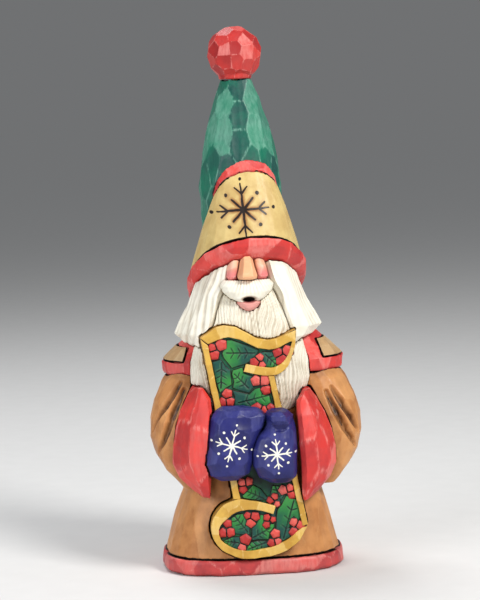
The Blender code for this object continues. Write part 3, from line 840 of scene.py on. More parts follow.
# %% Paint pots
PAINT = {
    # base, second, wash and pale, then patches, facets and brushing
    "green": paint("hat_green", "0E7358", "07443F", "06302A", "98D4BC", 0.55, 0.65, 0.66),
    "pompom": paint("pompom_red", "C42A24", "9C181A", "5A1012", "F2A69E", 0.5, 0.75, 0.7),
    "red": paint("carved_red", "DC3A33", "B2292A", "5A1012", "F2A8A0", 0.55, 0.5, 0.65),
    "hem": paint("hem_red", "CC4644", "A03438", "5A1818", "EDA69C", 0.8, 0.4, 0.7),
    "tan": paint("flap_tan", "D2B878", "BD9D60", "5A3C1C", "E6D4A2", 0.8, 0.1, 0.3),
    "robe": paint("robe_brown", "CA8E56", "A86C3A", "4A2812", "E3B27C", 0.7, 0.28, 0.4),
    "patch": paint("patch_tan", "BF9B6E", "A58055", "4A3018", "DCC6A0", 0.8, 0.3, 0.6),
    "white": paint(
        "hair_white", "F3EFE1", "E9E3D0", "86693E", "FFFEF6", 0.5, 0.15, 0.5, washing=0.62, rough=0.55,
    ),
    "skin": paint("nose_skin", "E9B084", "DC9A72", "8C4A30", "F4CBA8", 0.6, 0.2, 0.5),
    "rose": paint("cheek_rose", "E78C88", "DC6A6E", "8C3038", "F8CFC4", 0.6, 0.3, 0.7),
    "lip": paint("lip_pink", "E4A89E", "D68D85", "8C3038", "FBE2D8", 0.6, 0.3, 1.0),
    "gold": paint("rim_gold", "D4AA4C", "B88A34", "4A3010", "F6DF9E", 0.8, 0.35, 0.7, rough=0.4),
    "night": paint("board_ground", "1C6A3E", "0F3A3C", "050807", "4E8A58", 0.9, 0.3, 0.2),
    "holly": paint(
        "holly_leaf", "2C8534", "10473F", "0A1E18", "8CCB7A", 0.4, 0.95, 0.24, washing=1.0,
    ),
    "berry": paint("holly_berry", "D2443A", "AA2828", "5A1012", "EE9488", 0.6, 0.7, 0.7),
    "ink": paint("berry_outline", OUTLINE_COLOUR, "140D0A", "0A0605", "2A1E18", 0.5, 0.2, 0.1),
    "wood": paint("bare_dowel", "D8B788", "C9A574", "6A4A2A", "EBD3A8", 0.8, 0.1, 0.3),
}
print(len(PAINT), "paints")

# %% [markdown]
# ## Paint: drawing over
# Some things lie on top of a finished colour, such as the snowflakes. A second material would need
# faces that follow the drawing. Mixing by a mask inside the same material keeps the edge as sharp
# as the mask, and the same mask can raise or sink the line. Places are given as shares of a block's
# box, so they move with the block.

# %% Drawing over a paint
def draw_over(material, mask, code, lift=0.0):
    """Lays a colour over what the material has so far, where the mask is 1, and raises or sinks it."""
    tree = material.node_tree
    shader = tree.nodes["Principled BSDF"]
    under = shader.inputs["Base Color"].links[0].from_socket
    tree.links.new(blend(tree, mask, under, rgb(code)), shader.inputs["Base Color"])
    if lift:
        bump = shader.inputs["Normal"].links[0].from_node
        height = bump.inputs["Height"].links[0].from_socket
        tree.links.new(sums(tree, "MULTIPLY_ADD", mask, lift, height), bump.inputs["Height"])


def spot(node, across, up):
    """A place in the front view, in millimetres, as shares of the width and height of a block's box."""
    low, high = (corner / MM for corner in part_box(node))
    return low.x + across * (high.x - low.x), low.z + up * (high.z - low.z)


def snowflake(material, centre, reach, line, turn, shake, dots):
    """Places the snowflake group in a material and returns its mask and halo."""
    drawn = material.node_tree.nodes.new("ShaderNodeGroup")
    drawn.node_tree = SNOWFLAKE
    values = (*centre, reach, line, turn, shake, dots)
    keys = ("Across", "Up", "Reach", "Line", "Turn", "Shake", "Dots")
    for key, value in zip(keys, values):
        drawn.inputs[key].default_value = value
    return drawn.outputs["Mask"], drawn.outputs["Halo"]


print("the middle of the hat's flap is at", [round(c) for c in spot("hat_flap", 0.5, 0.5)], "mm")

# %% [markdown]
# ## Finishing a piece
# Every piece ends in the same way: it gets its paint, rides on the body, and the blocks that it
# stands for are hidden. Repeating these lines forty times would invite a slip, so they are one
# function.

# %% Finishing a piece
def finish(piece, material, slot, *nodes):
    """Paints a finished piece, sets it on the body and hides the blocks that it stands for. slot is not
    used.
    """
    piece.data.materials.clear()
    piece.data.materials.append(material)
    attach(piece, "root")
    if nodes:
        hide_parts(*nodes)
    print(piece.name, "is finished, with", len(piece.data.polygons), "faces")


# %% [markdown]
# ## Pompom
# The bobble on the hat's tip is a ball roughed out with flat knife cuts, each about as wide as a
# fingertip. A coarse icosphere has flat faces too, but they are all alike. A fine one, cut with
# dishes as deep as its own swell, gets facets of different sizes. The leading ones have set places
# and tones.

# %% Pompom
low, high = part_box("pompom")
middle = (low + high) / 2
bpy.ops.object.select_all(action="DESELECT")
radius = (high.z - low.z) / 2 + 0.3 * MM
bpy.ops.mesh.primitive_ico_sphere_add(subdivisions=7, radius=radius, location=middle)
pompom = bpy.context.object
pompom.name = "carved_pompom"
bpy.ops.object.transform_apply(location=True)
bpy.ops.object.shade_smooth()
for attribute in ("cut", "ink"):
    mark(pompom, attribute, np.zeros(len(pompom.data.vertices)))
BALL_FACETS = (
    # across, up, tone: 0 is deep red, 1 is dry-brushed with pink
    (0.1, 292, 0.02), (-7.0, 291, 0.95), (7.5, 289, 0.9),
    (-6.0, 283, 0.45), (1.5, 284.5, 0.3), (7, 281, 0.6),
)
gouge(pompom, 6.6, 0.9, seed=5, ridge=0.45, first=BALL_FACETS)

# %% [markdown]
# ## Pompom: its foot
# The ball doesn't balance on a point: its foot is spread where it is glued to the cone. A collar
# could be added, but it would show as a separate ring. Dropping the underside onto the cone, inside
# one radius, gives the flat foot and closes the gap, and a faint wash marks the joint.

# %% The ball's foot
FOOT_RADIUS = 8.8
co = points(pompom)
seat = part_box("hat_cone")[1].z / MM + 0.1
from_axis = np.hypot(co[:, 0] - middle.x / MM, co[:, 1] - middle.y / MM)
under = (co[:, 2] < middle.z / MM) * (1 - ramp(from_axis, FOOT_RADIUS, FOOT_RADIUS + 0.7))
print("the ball's foot drops by up to", round(((co[:, 2] - seat) * under).max(), 1), "mm")
co[:, 2] -= (co[:, 2] - seat) * under
place(pompom, co)
outline(pompom, "hat_cone", reach=0.8, strength=0.4, layer="cut")
finish(pompom, PAINT["pompom"], "red_paint", "pompom")

# %% [markdown]
# ## Hat: the tall cone
# The cone is cut downwards with long strokes of a wide gouge, so its facets are twice as tall as
# wide. A cone with flat sides would repeat them in rows. The gouge, stretched along the height,
# scatters them. The leading ones are given one by one: a dark lane down the middle, between two
# that the pale brush has caught.

# %% Hat cone
cone = blank("carved_hat_cone", "hat_cone", 0.65)
CONE_FACETS = (
    # across, up, tone: a dark lane down the middle, between two dry-brushed ones
    (1.2, 272, 0.1), (1.2, 255, 0.15), (1.2, 239, 0.0), (-7.8, 262, 0.85), (-9.5, 244, 0.8),
    (9.8, 264, 0.8), (11.0, 246, 0.9), (-16.0, 228, 0.45), (15.5, 229, 0.5),
)
gouge(cone, 7.8, 0.95, stretch=(1, 1, 1.9), seed=11, first=CONE_FACETS)
outline(cone, "hat_piping", "hat_brim", reach=0.8)
outline(cone, "pompom", reach=0.8, strength=0.4, layer="cut")
finish(cone, PAINT["green"], "green_paint", "hat_cone")

# %% [markdown]
# ## Hat: the brim
# The brim is a thick red roll that frames the face and runs round the back. A bevelled curve would
# be too even. Wide, shallow dishes, a little longer sideways, look like the few broad knife cuts
# that rounded it.

# %% Brim
brim = blank("carved_hat_brim", "hat_brim", 0.6)
gouge(brim, 9.5, 0.7, stretch=(1.3, 1.3, 1), seed=3)
outline(brim, "hat_flap", reach=0.8)
finish(brim, PAINT["red"], "red_paint", "hat_brim")

# %% [markdown]
# ## Hat: the piping
# The piping is a narrow red band that edges the turned-up front. It could be a painted stripe, but
# its raised edge throws a thin shadow on the cone. It is cut like the brim with smaller dishes, and
# its lower ends are drawn in a little, where it bends round the cone.

# %% Piping
piping = blank("carved_hat_piping", "hat_piping", 0.5)
co = points(piping)
co[:, 0] *= 1 - 0.05 * ramp(-co[:, 2], -215, -205)
place(piping, co)
gouge(piping, 7.5, 0.5, seed=8)
outline(piping, "hat_flap", "hat_cone", reach=0.6)
finish(piping, PAINT["red"], "red_paint", "hat_piping")

# %% [markdown]
# ## Hat: the turned-up front
# The front is planed smooth, because a snowflake is burnt into it with a hot pen, so only very
# shallow dishes are left. The burning could be a dark colour alone. Here the line also sinks into
# the wood, through the bump, and a brown scorch fades away from it.

# %% Flap
flap = blank("smooth_hat_flap", "hat_flap", 0.6, smooth=4)
gouge(flap, 16, 0.15, seed=2)
outline(flap, "hat_piping", "hat_brim", reach=0.75)
SCORCH, BURNT = "8A4A1A", "1C0C06"
BURN_DEPTH = -3.0
centre = spot("hat_flap", 0.457, 0.645)
mask, halo = snowflake(PAINT["tan"], centre, 14.3, 1.15, math.radians(-3), 0.9, 1.18)
draw_over(PAINT["tan"], halo, SCORCH)
draw_over(PAINT["tan"], mask, BURNT, BURN_DEPTH)
finish(flap, PAINT["tan"], "tan_paint", "hat_flap")

# %% [markdown]
# ## Beard
# The beard is one block, cut with a V-tool in long wavy strands that run out from the mouth. A hair
# system would make real hairs, which look nothing like carved ones. The lanes are counted by the
# angle round the figure, so the strands fan out towards the tips. A finer cut runs beside the
# first, and a thin brown wash stays in the grooves.

# %% Beard
STRAND = 4.6  # degrees round the beard

beard = blank("carved_beard", "beard", 0.5, swell=0.25)
co = points(beard)
turn = np.degrees(np.arctan2(co[:, 0] - 1.2, -(co[:, 1] + 16)))
lane = turn / STRAND
lane = lane + 0.45 * np.sin(co[:, 2] / 7 + turn / 13) + 0.3 * np.sin(co[:, 2] / 3.3 + turn / 6)
v_cuts(beard, lane, 1.1, width=0.75, seed=4)
v_cuts(beard, 2.6 * lane + 0.3, 0.26, width=0.8, seed=14)
rims = ("rim_top", "rim_left", "rim_right")
outline(beard, *rims, "cuff_left", "cuff_right", reach=0.8, strength=0.5)
# painted shade: a brown darkening beside the board's rims, and under the hair and the moustache
outline(beard, *rims, reach=2.2, strength=0.6, layer="cut")
outline(beard, "hair_left", "hair_right", "moustache", reach=1.1, strength=0.7, layer="cut")
finish(beard, PAINT["white"], "white_paint", "beard")

# %% [markdown]
# ## Hair: the side locks
# Two long locks hang from under the brim beside the face. Grooves all over would make them stripes.
# They are cut on the inner front and the outer side only, and the broad plane between stays smooth.
# The cuts fade in and out by ramps, because a blade lifts out of the wood gradually. Beside the
# cheeks each lock is drawn in, to leave no gap.

# %% Side locks
DRAWN_IN = 2.6  # how far the locks come in beside the cheeks, in millimetres


def carve_hair(name, node, side, seed):
    """One lock. side is 1 on the figure's left and -1 on its right."""
    lock = blank(name, node, 0.55, swell=0.2)
    co = points(lock)
    fan = (co[:, 0] * side - 4) / (1 + (182 - co[:, 2]) / 62) + 0.3 * co[:, 1] / 3
    strands = fan / 2.6 + 0.2 * np.sin(co[:, 2] / 9)
    inner = ramp(-fan, -13, -5) if side > 0 else ramp(-fan, -24, -8)
    v_cuts(lock, strands, 0.7, width=0.6, seed=seed, share=inner)
    outer = ramp(side * normals(lock)[:, 0], 0.65, 0.95) * ramp(-co[:, 1], -30, -2)
    strands = co[:, 1] / 3.4 + 0.25 * np.sin(co[:, 2] / 7)
    v_cuts(lock, strands, 0.55, width=0.6, seed=seed + 9, share=outer)
    gouge(lock, 14, 0.6, stretch=(1, 1, 2.2), seed=seed)
    co = points(lock)
    beside = (1 - ramp(co[:, 0] * side, 17, 24)) * ramp(co[:, 2], 154, 164)
    co[:, 0] -= DRAWN_IN * side * beside * ramp(-co[:, 1], 8, 20)
    place(lock, co)
    outline(lock, "hat_brim", reach=0.7, strength=0.8)
    # painted shade: a brown darkening under the brim, and where the lock meets the beard, the moustache
    # and the cheek
    outline(lock, "hat_brim", reach=3.0, strength=0.35, layer="cut")
    outline(lock, "beard", "moustache", "cheek_" + node[5:], reach=1.0, strength=0.8, layer="cut")
    finish(lock, PAINT["white"], "white_paint", node)


carve_hair("carved_hair_left", "hair_left", 1, 21)
carve_hair("carved_hair_right", "hair_right", -1, 22)

# %% [markdown]
# ## Hair: the nape
# A third piece of hair covers the back of the neck. It could be a copy of a lock, but it curves the
# other way. So it gets its own fan of lanes, counted by the angle round the back of the head.

# %% Nape
nape = blank("carved_hair_back", "hair_back", 0.6)
co = points(nape)
lane = np.degrees(np.arctan2(co[:, 0] - 1.5, co[:, 1] + 4)) / 6 + 0.3 * np.sin(co[:, 2] / 7)
v_cuts(nape, lane, 0.9, width=0.7, seed=23)
finish(nape, PAINT["white"], "white_paint", "hair_back")

# %% [markdown]
# ## Moustache
# The moustache is a pale band that droops on both sides of the mouth, with fine strands that start
# under the nose. The lanes spread as they go down, like a fan. The cuts are strong in the middle
# and fade towards the ends, which keeps the ends smooth and rounded. A thin brown darkening,
# painted shade, separates it from the nose and the cheeks.

# %% Moustache
moustache = blank("carved_moustache", "moustache", 0.35, swell=0.3)
co = points(moustache)
lane = (co[:, 0] - 0.6) / (1.4 + (164 - co[:, 2]) / 9)
middle = 1 - ramp(np.abs(co[:, 0] - 0.6), 4, 10)
share = ramp(co[:, 2], 154, 161) * (0.3 + 0.7 * middle)
v_cuts(moustache, lane, 0.4, width=0.8, seed=6, share=share)
gouge(moustache, 8, 0.3, seed=6)
# painted shade: a thin brown darkening beside the nose and the cheeks
outline(moustache, "nose", "cheek_left", "cheek_right", reach=0.6, strength=0.8, layer="cut")
outline(moustache, "nose", reach=0.4, strength=0.8)

# %% [markdown]
# ## Mouth and lower lip
# The open mouth is a small dark hole between the moustache and a pink lower lip. It could be a
# Boolean cut through both blocks. Pushing both skins back inside one ellipse makes the same hole
# with soft edges, and it lines up by itself. Along the same ellipse the hole is painted brown and
# near-black towards its middle, which is painted shade inside the mouth.

# %% Mouth and lip
MOUTH_PLACE = (1.0, 153.7)
MOUTH_SIZE = (5.3, 2.3)
MOUTH_DEPTH = 5.0

lip = blank("carved_lower_lip", "lower_lip", 0.35, swell=0.15)
for piece in (moustache, lip):
    co = points(piece)
    across, up = ((co[:, (0, 2)] - MOUTH_PLACE) / MOUTH_SIZE).T
    mouth = 1 - np.sqrt(across**2 + up**2)
    co[:, 1] += MOUTH_DEPTH * ramp(mouth, 0, 0.7) * ramp(-co[:, 1], 28, 36)
    place(piece, co)
    # painted shade: brown and near-black paint inside the mouth's hole
    mark(piece, "cut", 0.8 * ramp(mouth, 0.0, 0.35))
    mark(piece, "ink", ramp(mouth, 0.15, 0.65))
finish(moustache, PAINT["white"], "white_paint", "moustache")
finish(lip, PAINT["lip"], "rose_paint", "lower_lip")

# %% [markdown]
# ## Nose
# The nose is a plain wedge with planed sides, in a warm skin colour. Its shape is right as the
# block gives it, so a few shallow cuts are enough. Painted shade, a thin brown darkening round it
# where it meets the brim, the cheeks and the moustache, takes the place of a hard outline, which
# would look too heavy on a face.

# %% Nose
nose = blank("carved_nose", "nose", 0.35, swell=0.1)
gouge(nose, 7, 0.25, seed=4)
neighbours = ("hat_brim", "cheek_left", "cheek_right", "moustache")
# painted shade: a thin brown darkening where the nose meets its neighbours
outline(nose, *neighbours, reach=0.9, strength=0.9, layer="cut")
finish(nose, PAINT["skin"], "skin_paint", "nose")

# %% [markdown]
# ## Cheeks
# Each cheek is a long rounded bead that runs up under the brim, skin-coloured above and rubbed with
# rose below. Two materials would meet in a line. A ramp along the height, inside the one material,
# gives the soft start of a blush.

# %% Cheeks
BLUSH_TOP, BARE_FROM = 167 * MM, 173 * MM

tree = PAINT["rose"].node_tree
mixer = tree.nodes["paint"]
here = put(tree, "ShaderNodeTexCoord", out=3)
up = put(tree, "ShaderNodeSeparateXYZ", {"Vector": here}, out=2)
bare = scale_to(tree, up, BLUSH_TOP, BARE_FROM)
for key, code in (("Paint", "EBBB98"), ("Second", "DDA283")):
    rose = tuple(mixer.inputs[key].default_value)
    tree.links.new(blend(tree, bare, rose, rgb(code)), mixer.inputs[key])
for node in ("cheek_left", "cheek_right"):
    cheek = blank("carved_" + node, node, 0.35, swell=0.2)
    gouge(cheek, 5, 0.25, seed=7)
    # painted shade: a brown darkening where the cheek meets the brim, the nose and the moustache
    outline(cheek, "hat_brim", "nose", "moustache", reach=0.8, strength=0.9, layer="cut")
    finish(cheek, PAINT["rose"], "rose_paint", node)

# %% [markdown]
# ## Head
# The head behind the nose, cheeks and hair is almost hidden. It could be left plain, but a little
# of it shows between the pieces from some sides, so it gets the same skin paint and a light
# gouging.

# %% Head
head = blank("carved_head", "head_block", 0.8)
gouge(head, 9, 0.3, seed=9)
finish(head, PAINT["skin"], "skin_paint", "head_block")

# %% [markdown]
# ## Robe
# The robe is the broad, bell-shaped body of the figure, planed nearly smooth. Left quite smooth it
# would look turned on a lathe. Large, shallow dishes, more than twice as tall as wide, are all it
# needs. Painted shade, a faint brown darkening, spreads from the board and the cuffs.

# %% Robe
robe = blank("carved_robe", "robe_body", 0.85)
gouge(robe, 17, 0.45, stretch=(1, 1, 2.4), seed=31)
outline(robe, "hem_band", "holly_board", "cuff_left", "cuff_right", reach=1.0)
# painted shade: a faint darkening on the robe around the board and the cuffs
outline(robe, "holly_board", "cuff_left", "cuff_right", reach=4.5, strength=0.3, layer="cut")
finish(robe, PAINT["robe"], "robe_paint", "robe_body")

# %% [markdown]
# ## Hem
# A red band runs round the foot of the robe. It could be a painted stripe, but it stands out as a
# low step, and its top edge carries a dark line all round. Plain, broad knife cuts break up its
# surface.

# %% Hem
hem = blank("carved_hem", "hem_band", 0.8)
gouge(hem, 10, 0.5, seed=32)
outline(hem, "robe_body", reach=0.8)
finish(hem, PAINT["hem"], "red_paint", "hem_band")

# %% [markdown]
# ## Sleeves
# Each sleeve hangs in a full curve, with two deep folds from the shoulder towards the wrist. Cloth
# simulation makes fine folds, but these are knife cuts in wood, with a crisp lip and a dark bottom.
# Each fold is given as a few points in the front view, with a width and a depth.

# %% Sleeves
def carve_sleeve(name, node, folds, seed):
    """One sleeve. Each fold is a path in the front view, a width and a depth, in millimetres."""
    sleeve = blank(name, node, 0.45)
    gouge(sleeve, 9, 0.45, stretch=(1, 1, 1.8), seed=seed)
    for fold, width, depth in folds:
        crease(sleeve, laid_on(sleeve, fold), width, depth)
    cuff, cape = node.replace("sleeve", "cuff"), node.replace("sleeve", "cape")
    outline(sleeve, cuff, cape, reach=0.9)
    # painted shade: a faint darkening near the cuff and the cape
    outline(sleeve, cuff, cape, reach=4.0, strength=0.25, layer="cut")
    finish(sleeve, PAINT["robe"], "robe_paint", node)


RIGHT_FOLDS = (
    (((-38, 108), (-43, 101), (-47.3, 95), (-52.5, 87), (-55, 79)), 2.7, 3.2),
    (((-36, 104), (-38.2, 100.6), (-43.8, 90.5), (-48.1, 79), (-52, 67)), 2.9, 3.6),
)
LEFT_FOLDS = (
    (((47, 102), (49.2, 98), (54.5, 89.5), (60.7, 79), (62, 74)), 2.9, 3.4),
    (((43.5, 100), (45.8, 95), (50.1, 86), (55.6, 75.5), (60, 67)), 3.0, 3.8),
)
carve_sleeve("carved_sleeve_right", "sleeve_right", RIGHT_FOLDS, 41)
carve_sleeve("carved_sleeve_left", "sleeve_left", LEFT_FOLDS, 42)

# %% [markdown]
# ## Cuffs
# The cuffs are long red triangles that hang from the wrists, cut with long strokes of a wide gouge.
# They could be smooth, but they are the boldest facets on the figure. So the dishes are deep and
# the ridge is wide, which gives the dry brush more to catch.

# %% Cuffs
for node, seed in (("cuff_left", 51), ("cuff_right", 52)):
    cuff = blank("carved_" + node, node, 0.55)
    gouge(cuff, 10, 0.8, stretch=(1, 1, 2.4), seed=seed, ridge=1.0)
    outline(cuff, node.replace("cuff", "sleeve"), "holly_board", "beard", reach=0.7)
    outline(cuff, node.replace("cuff", "mitten"), reach=0.6)
    finish(cuff, PAINT["red"], "red_paint", node)

# %% [markdown]
# ## Cape
# A short red cape covers the shoulders in two halves, each with a tan field on it. The field could
# be a colour only. As a thin block of its own it has an edge that catches the light, and the dark
# line has something to follow.

# %% Capes
for side, seed in (("left", 61), ("right", 62)):
    cape = blank("carved_cape_" + side, "cape_" + side, 0.65)
    gouge(cape, 9, 0.6, seed=seed)
    outline(cape, "cape_field_" + side, reach=0.8)
    finish(cape, PAINT["red"], "red_paint", "cape_" + side)
    field = blank("cape_panel_" + side, "cape_field_" + side, 0.45)
    gouge(field, 9, 0.2, seed=seed)
    outline(field, "cape_" + side, reach=0.8)
    finish(field, PAINT["patch"], "tan_paint", "cape_field_" + side)

# %% [markdown]
# ## Mittens: the thumb
# The hands are in dark blue mittens, and the left thumb grows out of the top of its mitten. Its
# block is a plain ball in a socket. A Boolean union would leave a hard seam. Instead a slightly
# larger copy, set back, is skinned together with the mitten and fills the socket, and the thumb
# itself is flattened and sinks in on one side.

# %% The thumb and its root
def thumb_root():
    """A copy of the thumb, a little larger and set back, that fills its socket in the mitten."""
    root = copy_of("thumb_root", "thumb_left")
    co = points(root)
    middle = (co.min(0) + co.max(0)) / 2
    co = middle + (co - middle) * 1.05 + (0, 2.0, 0)
    co[:, 2] -= 1.9 * ramp(co[:, 2], 88, 95)
    place(root, co)
    return root


def shape_mitten(node, co):
    """Closes the gap between the mittens, and flattens the thumb into the hand."""
    if node == "mitten_right":
        co[:, 0] += (1.4 + 1.3 * ramp(co[:, 2], 72, 86)) * ramp(co[:, 0], -9, 0)
    elif node == "mitten_left":
        co[:, 0] -= 1.7 * ramp(-co[:, 0], -11, -3) * ramp(-co[:, 2], -84, -76)
    elif node == "thumb_left":
        co[:, 2] = 89.7 + (co[:, 2] - 88.8) * 0.66
        co[:, 0] -= 0.5
        co[:, 1] += 2.4 * ramp(co[:, 0], 14, 22)


print("the thumb's block is", np.ptp(points(NODES["thumb_left"]), axis=0).round(1), "mm")

# %% [markdown]
# ## Mittens
# The mittens meet in front of the board. Their facets are shallow, and deeper at the knuckles,
# where a carver has to turn the blade. All three pieces could share one material, but each
# snowflake has its own place and turn, so each gets its own pot of the same blue. Painted shade, a
# dark brown darkening, lies where the mittens touch.

# %% Mittens
FLAKES = {
    # centre as shares of the mitten's box, reach, turn
    "mitten_left": ((0.508, 0.476), 8.2, -4),
    "mitten_right": ((0.452, 0.495), 8.8, 16),
    "thumb_left": None,
}
BESIDE = {
    "mitten_left": ["mitten_right"],
    "mitten_right": ["mitten_left", "thumb_left"],
    "thumb_left": [],
}
BLUE = ("272A70", "1B1C54", "0C0C2C", "666AA8", 0.6, 0.5, 0.45)
CHALK = "EEEBDD"
CHALK_HEIGHT = 3.0

for seed, (node, flake) in enumerate(FLAKES.items(), 71):
    root = thumb_root() if node == "mitten_left" else None
    mitten = blank("carved_" + node, node, 0.45, plug=root)
    co = points(mitten)
    shape_mitten(node, co)
    place(mitten, co)
    high_up = ramp(points(mitten)[:, 2], 76, 88)
    gouge(mitten, 7.0, 0.75, seed=seed, share=0.35 + 0.65 * high_up)
    outline(mitten, "cuff_left", "cuff_right", "holly_board", reach=0.6)
    # painted shade: darker where one mitten touches the other
    for other in BESIDE[node]:
        outline(mitten, other, reach=2.0, strength=0.75, layer="cut")
    material = paint(node + "_blue", *BLUE, rough=0.4)
    if flake:
        share, reach, turn = flake
        mask, _ = snowflake(material, spot(node, *share), reach, 0.75, math.radians(turn), 1.0, 1.3)
        draw_over(material, mask, CHALK, CHALK_HEIGHT)
    finish(mitten, material, "blue_paint", node)

# %% [markdown]
# ## Holly board: the ground
# The gnome holds a tall board with a hooked top and a curled foot. Its face is dark green and its
# sides are gold. The sides could be selected as faces and given a second material. Marking them by
# the way they face keeps one material, and the colour fades over the rounded corner. Below the
# mittens the ground is darkened almost to black, which is painted shade under the hands.

# %% Board
BOARD_EDGE = "B98A38"

board = blank("carved_holly_board", "holly_board", 0.7)
gouge(board, 8, 0.25, seed=81)
mark(board, "side", 1 - ramp(-normals(board)[:, 1], 0.35, 0.7))
RIMS = ("rim_left", "rim_top", "rim_right", "rim_foot")
outline(board, *RIMS, reach=0.75)
# painted shade: the ground below the mittens is darkened almost to black
up = points(board)[:, 2]
painted_shade_under_mittens = ramp(up, 45, 52) * (1 - ramp(up, 60, 75))
mark(board, "cut", 0.9 * painted_shade_under_mittens)
tree = PAINT["night"].node_tree
side = put(tree, "ShaderNodeAttribute", out=2, attribute_name="side")
draw_over(PAINT["night"], side, BOARD_EDGE)
finish(board, PAINT["night"], "holly_paint", "holly_board")

# %% [markdown]
# ## Holly board: the rims
# A raised gold rim follows the board's edge in four lengths. It could be a bevelled curve, but the
# lengths have mitred and square ends, which the blocks already have. A fine skin keeps those ends
# crisp, and light cuts make the gold flicker as hammered or knife-worked rims do.

# %% Rims
for node in RIMS:
    rim = blank("carved_" + node, node, 0.3, smooth=3, swell=0.22)
    gouge(rim, 7, 0.3, seed=82)
    outline(rim, "holly_board", reach=0.7, layer="cut")
    finish(rim, PAINT["gold"], "gold_paint", node)

# %% [markdown]
# ## Holly board: where the leaves and berries go
# The board is covered with spiny leaves and bunches of red berries. They could be scattered at
# random, but a painter fills a shape on purpose and lets nothing overlap. So each leaf is an
# outline with a vein, in millimetres from the board's lower corner. Five leaves lie above the
# mittens.

# %% Leaves above the mittens
UPPER_LEAVES = (
    # outline, and the vein from the bright end to the dark end
    (
        ((14.1, 122.0), (17.2, 122.1), (21.8, 120.3), (27.1, 118.4), (32.4, 115.8), (30.8, 113.2),
        (27.6, 109.8), (24.4, 108.0), (20.5, 107.2), (16.6, 106.0), (14.4, 109.2), (12.2, 112.1),
        (11.5, 114.8), (13.6, 118.2)),
        ((14.2, 114.7), (29.6, 114.0)),
    ),
    (
        ((10.7, 111.7), (12.1, 110.1), (13.9, 106.9), (16.2, 105.3), (16.4, 101.4), (16.7, 97.1),
        (12.7, 95.0), (9.6, 92.4), (8.2, 97.1), (7.2, 101.8), (6.2, 106.5), (5.8, 110.4),
        (8.7, 111.0)),
        ((10.4, 95.5), (11.3, 109.4)),
    ),
    (
        ((17.0, 105.3), (22.8, 106.9), (23.5, 103.4), (28.1, 101.7), (27.9, 97.4), (28.6, 95.0),
        (25.8, 92.0), (21.2, 93.4), (17.8, 94.7), (16.6, 95.2), (17.5, 99.0), (16.5, 102.9)),
        ((18.0, 102.9), (25.5, 94.8)),
    ),
    (
        ((16.2, 94.4), (20.8, 93.1), (25.8, 91.7), (29.0, 94.6), (32.1, 95.3), (33.1, 91.7),
        (37.0, 91.2), (38.0, 86.1), (34.4, 84.3), (31.4, 86.0), (27.9, 85.3), (26.6, 83.1),
        (22.8, 84.4), (17.4, 85.0), (17.6, 90.5)),
        ((36.6, 90.4), (19.8, 86.9)),
    ),
    (
        ((33.9, 115.0), (39.3, 114.4), (41.5, 111.2), (42.2, 107.6), (43.7, 106.0), (41.0, 105.4),
        (34.8, 106.0), (34.1, 109.2), (33.1, 113.9)),
        ((42.1, 106.1), (35.4, 113.0)),
    ),
)
print(len(UPPER_LEAVES), "leaves above the mittens")

# %% [markdown]
# ## Holly board: the leaves below
# The board's foot curls to one side, and seven leaves turn with it. A leaf could be drawn once and
# turned for each place, but a painter bends every leaf to the room there is, so each has its own
# outline.

# %% Leaves below the mittens
LOWER_LEAVES = (
    # outline, and the vein from the bright end to the dark end
    (
        ((26.1, 41.3), (30.5, 38.8), (34.0, 33.8), (33.6, 32.3), (28.0, 32.2), (20.6, 33.7),
        (19.6, 35.2), (22.3, 37.7)),
        ((23.0, 37.7), (31.8, 33.1)),
    ),
    (
        ((36.8, 40.4), (40.9, 39.8), (41.5, 36.0), (43.3, 34.4), (40.2, 29.3), (38.8, 33.5),
        (35.5, 35.6)),
        ((38.7, 39.5), (41.0, 31.6)),
    ),
    (
        ((44.1, 34.4), (45.9, 34.3), (47.7, 32.7), (49.9, 32.2), (51.6, 27.3), (52.6, 22.0),
        (50.2, 19.5), (48.1, 22.2), (46.1, 19.3), (45.6, 14.4), (45.9, 10.7), (40.6, 8.3),
        (39.9, 12.1), (37.8, 16.0), (38.3, 22.7), (39.0, 26.8), (41.3, 29.3)),
        ((48.4, 31.2), (42.1, 10.5)),
    ),
    (
        ((13.2, 23.2), (16.6, 25.3), (20.4, 25.4), (21.7, 22.4), (22.3, 19.0), (23.8, 17.4),
        (23.6, 13.3), (18.1, 13.6), (15.1, 14.1), (14.5, 17.1), (13.1, 18.7)),
        ((15.5, 23.8), (22.2, 14.9)),
    ),
    (
        ((29.6, 24.6), (32.2, 24.1), (31.2, 18.5), (33.0, 16.6), (35.0, 19.1), (37.6, 19.0),
        (37.1, 16.7), (34.8, 14.2), (33.9, 10.1), (29.1, 10.4), (24.3, 9.9), (24.5, 17.0),
        (27.6, 20.2)),
        ((34.9, 16.5), (25.4, 11.7)),
    ),
    (
        ((8.3, 10.7), (13.6, 12.7), (18.0, 12.8), (18.3, 9.4), (16.7, 6.5), (15.9, 5.0),
        (12.3, 6.7), (9.4, 9.1)),
        ((9.8, 10.2), (16.8, 9.1)),
    ),
    (
        ((24.2, 9.5), (28.7, 10.0), (33.5, 9.4), (33.4, 5.7), (27.8, 4.1), (24.0, 3.5),
        (20.7, 4.0), (21.9, 7.0)),
        ((22.2, 5.1), (32.4, 8.7)),
    ),
)
LEAVES = UPPER_LEAVES + LOWER_LEAVES
print(len(LOWER_LEAVES), "leaves below the mittens")

# %% [markdown]
# ## Holly board: where the berries go
# Bunches of red berries fill the gaps between the leaves. A routine could fill them, but it would
# space the berries evenly, and real bunches are tight, with plain board between them. So each
# berry is a place and a radius.

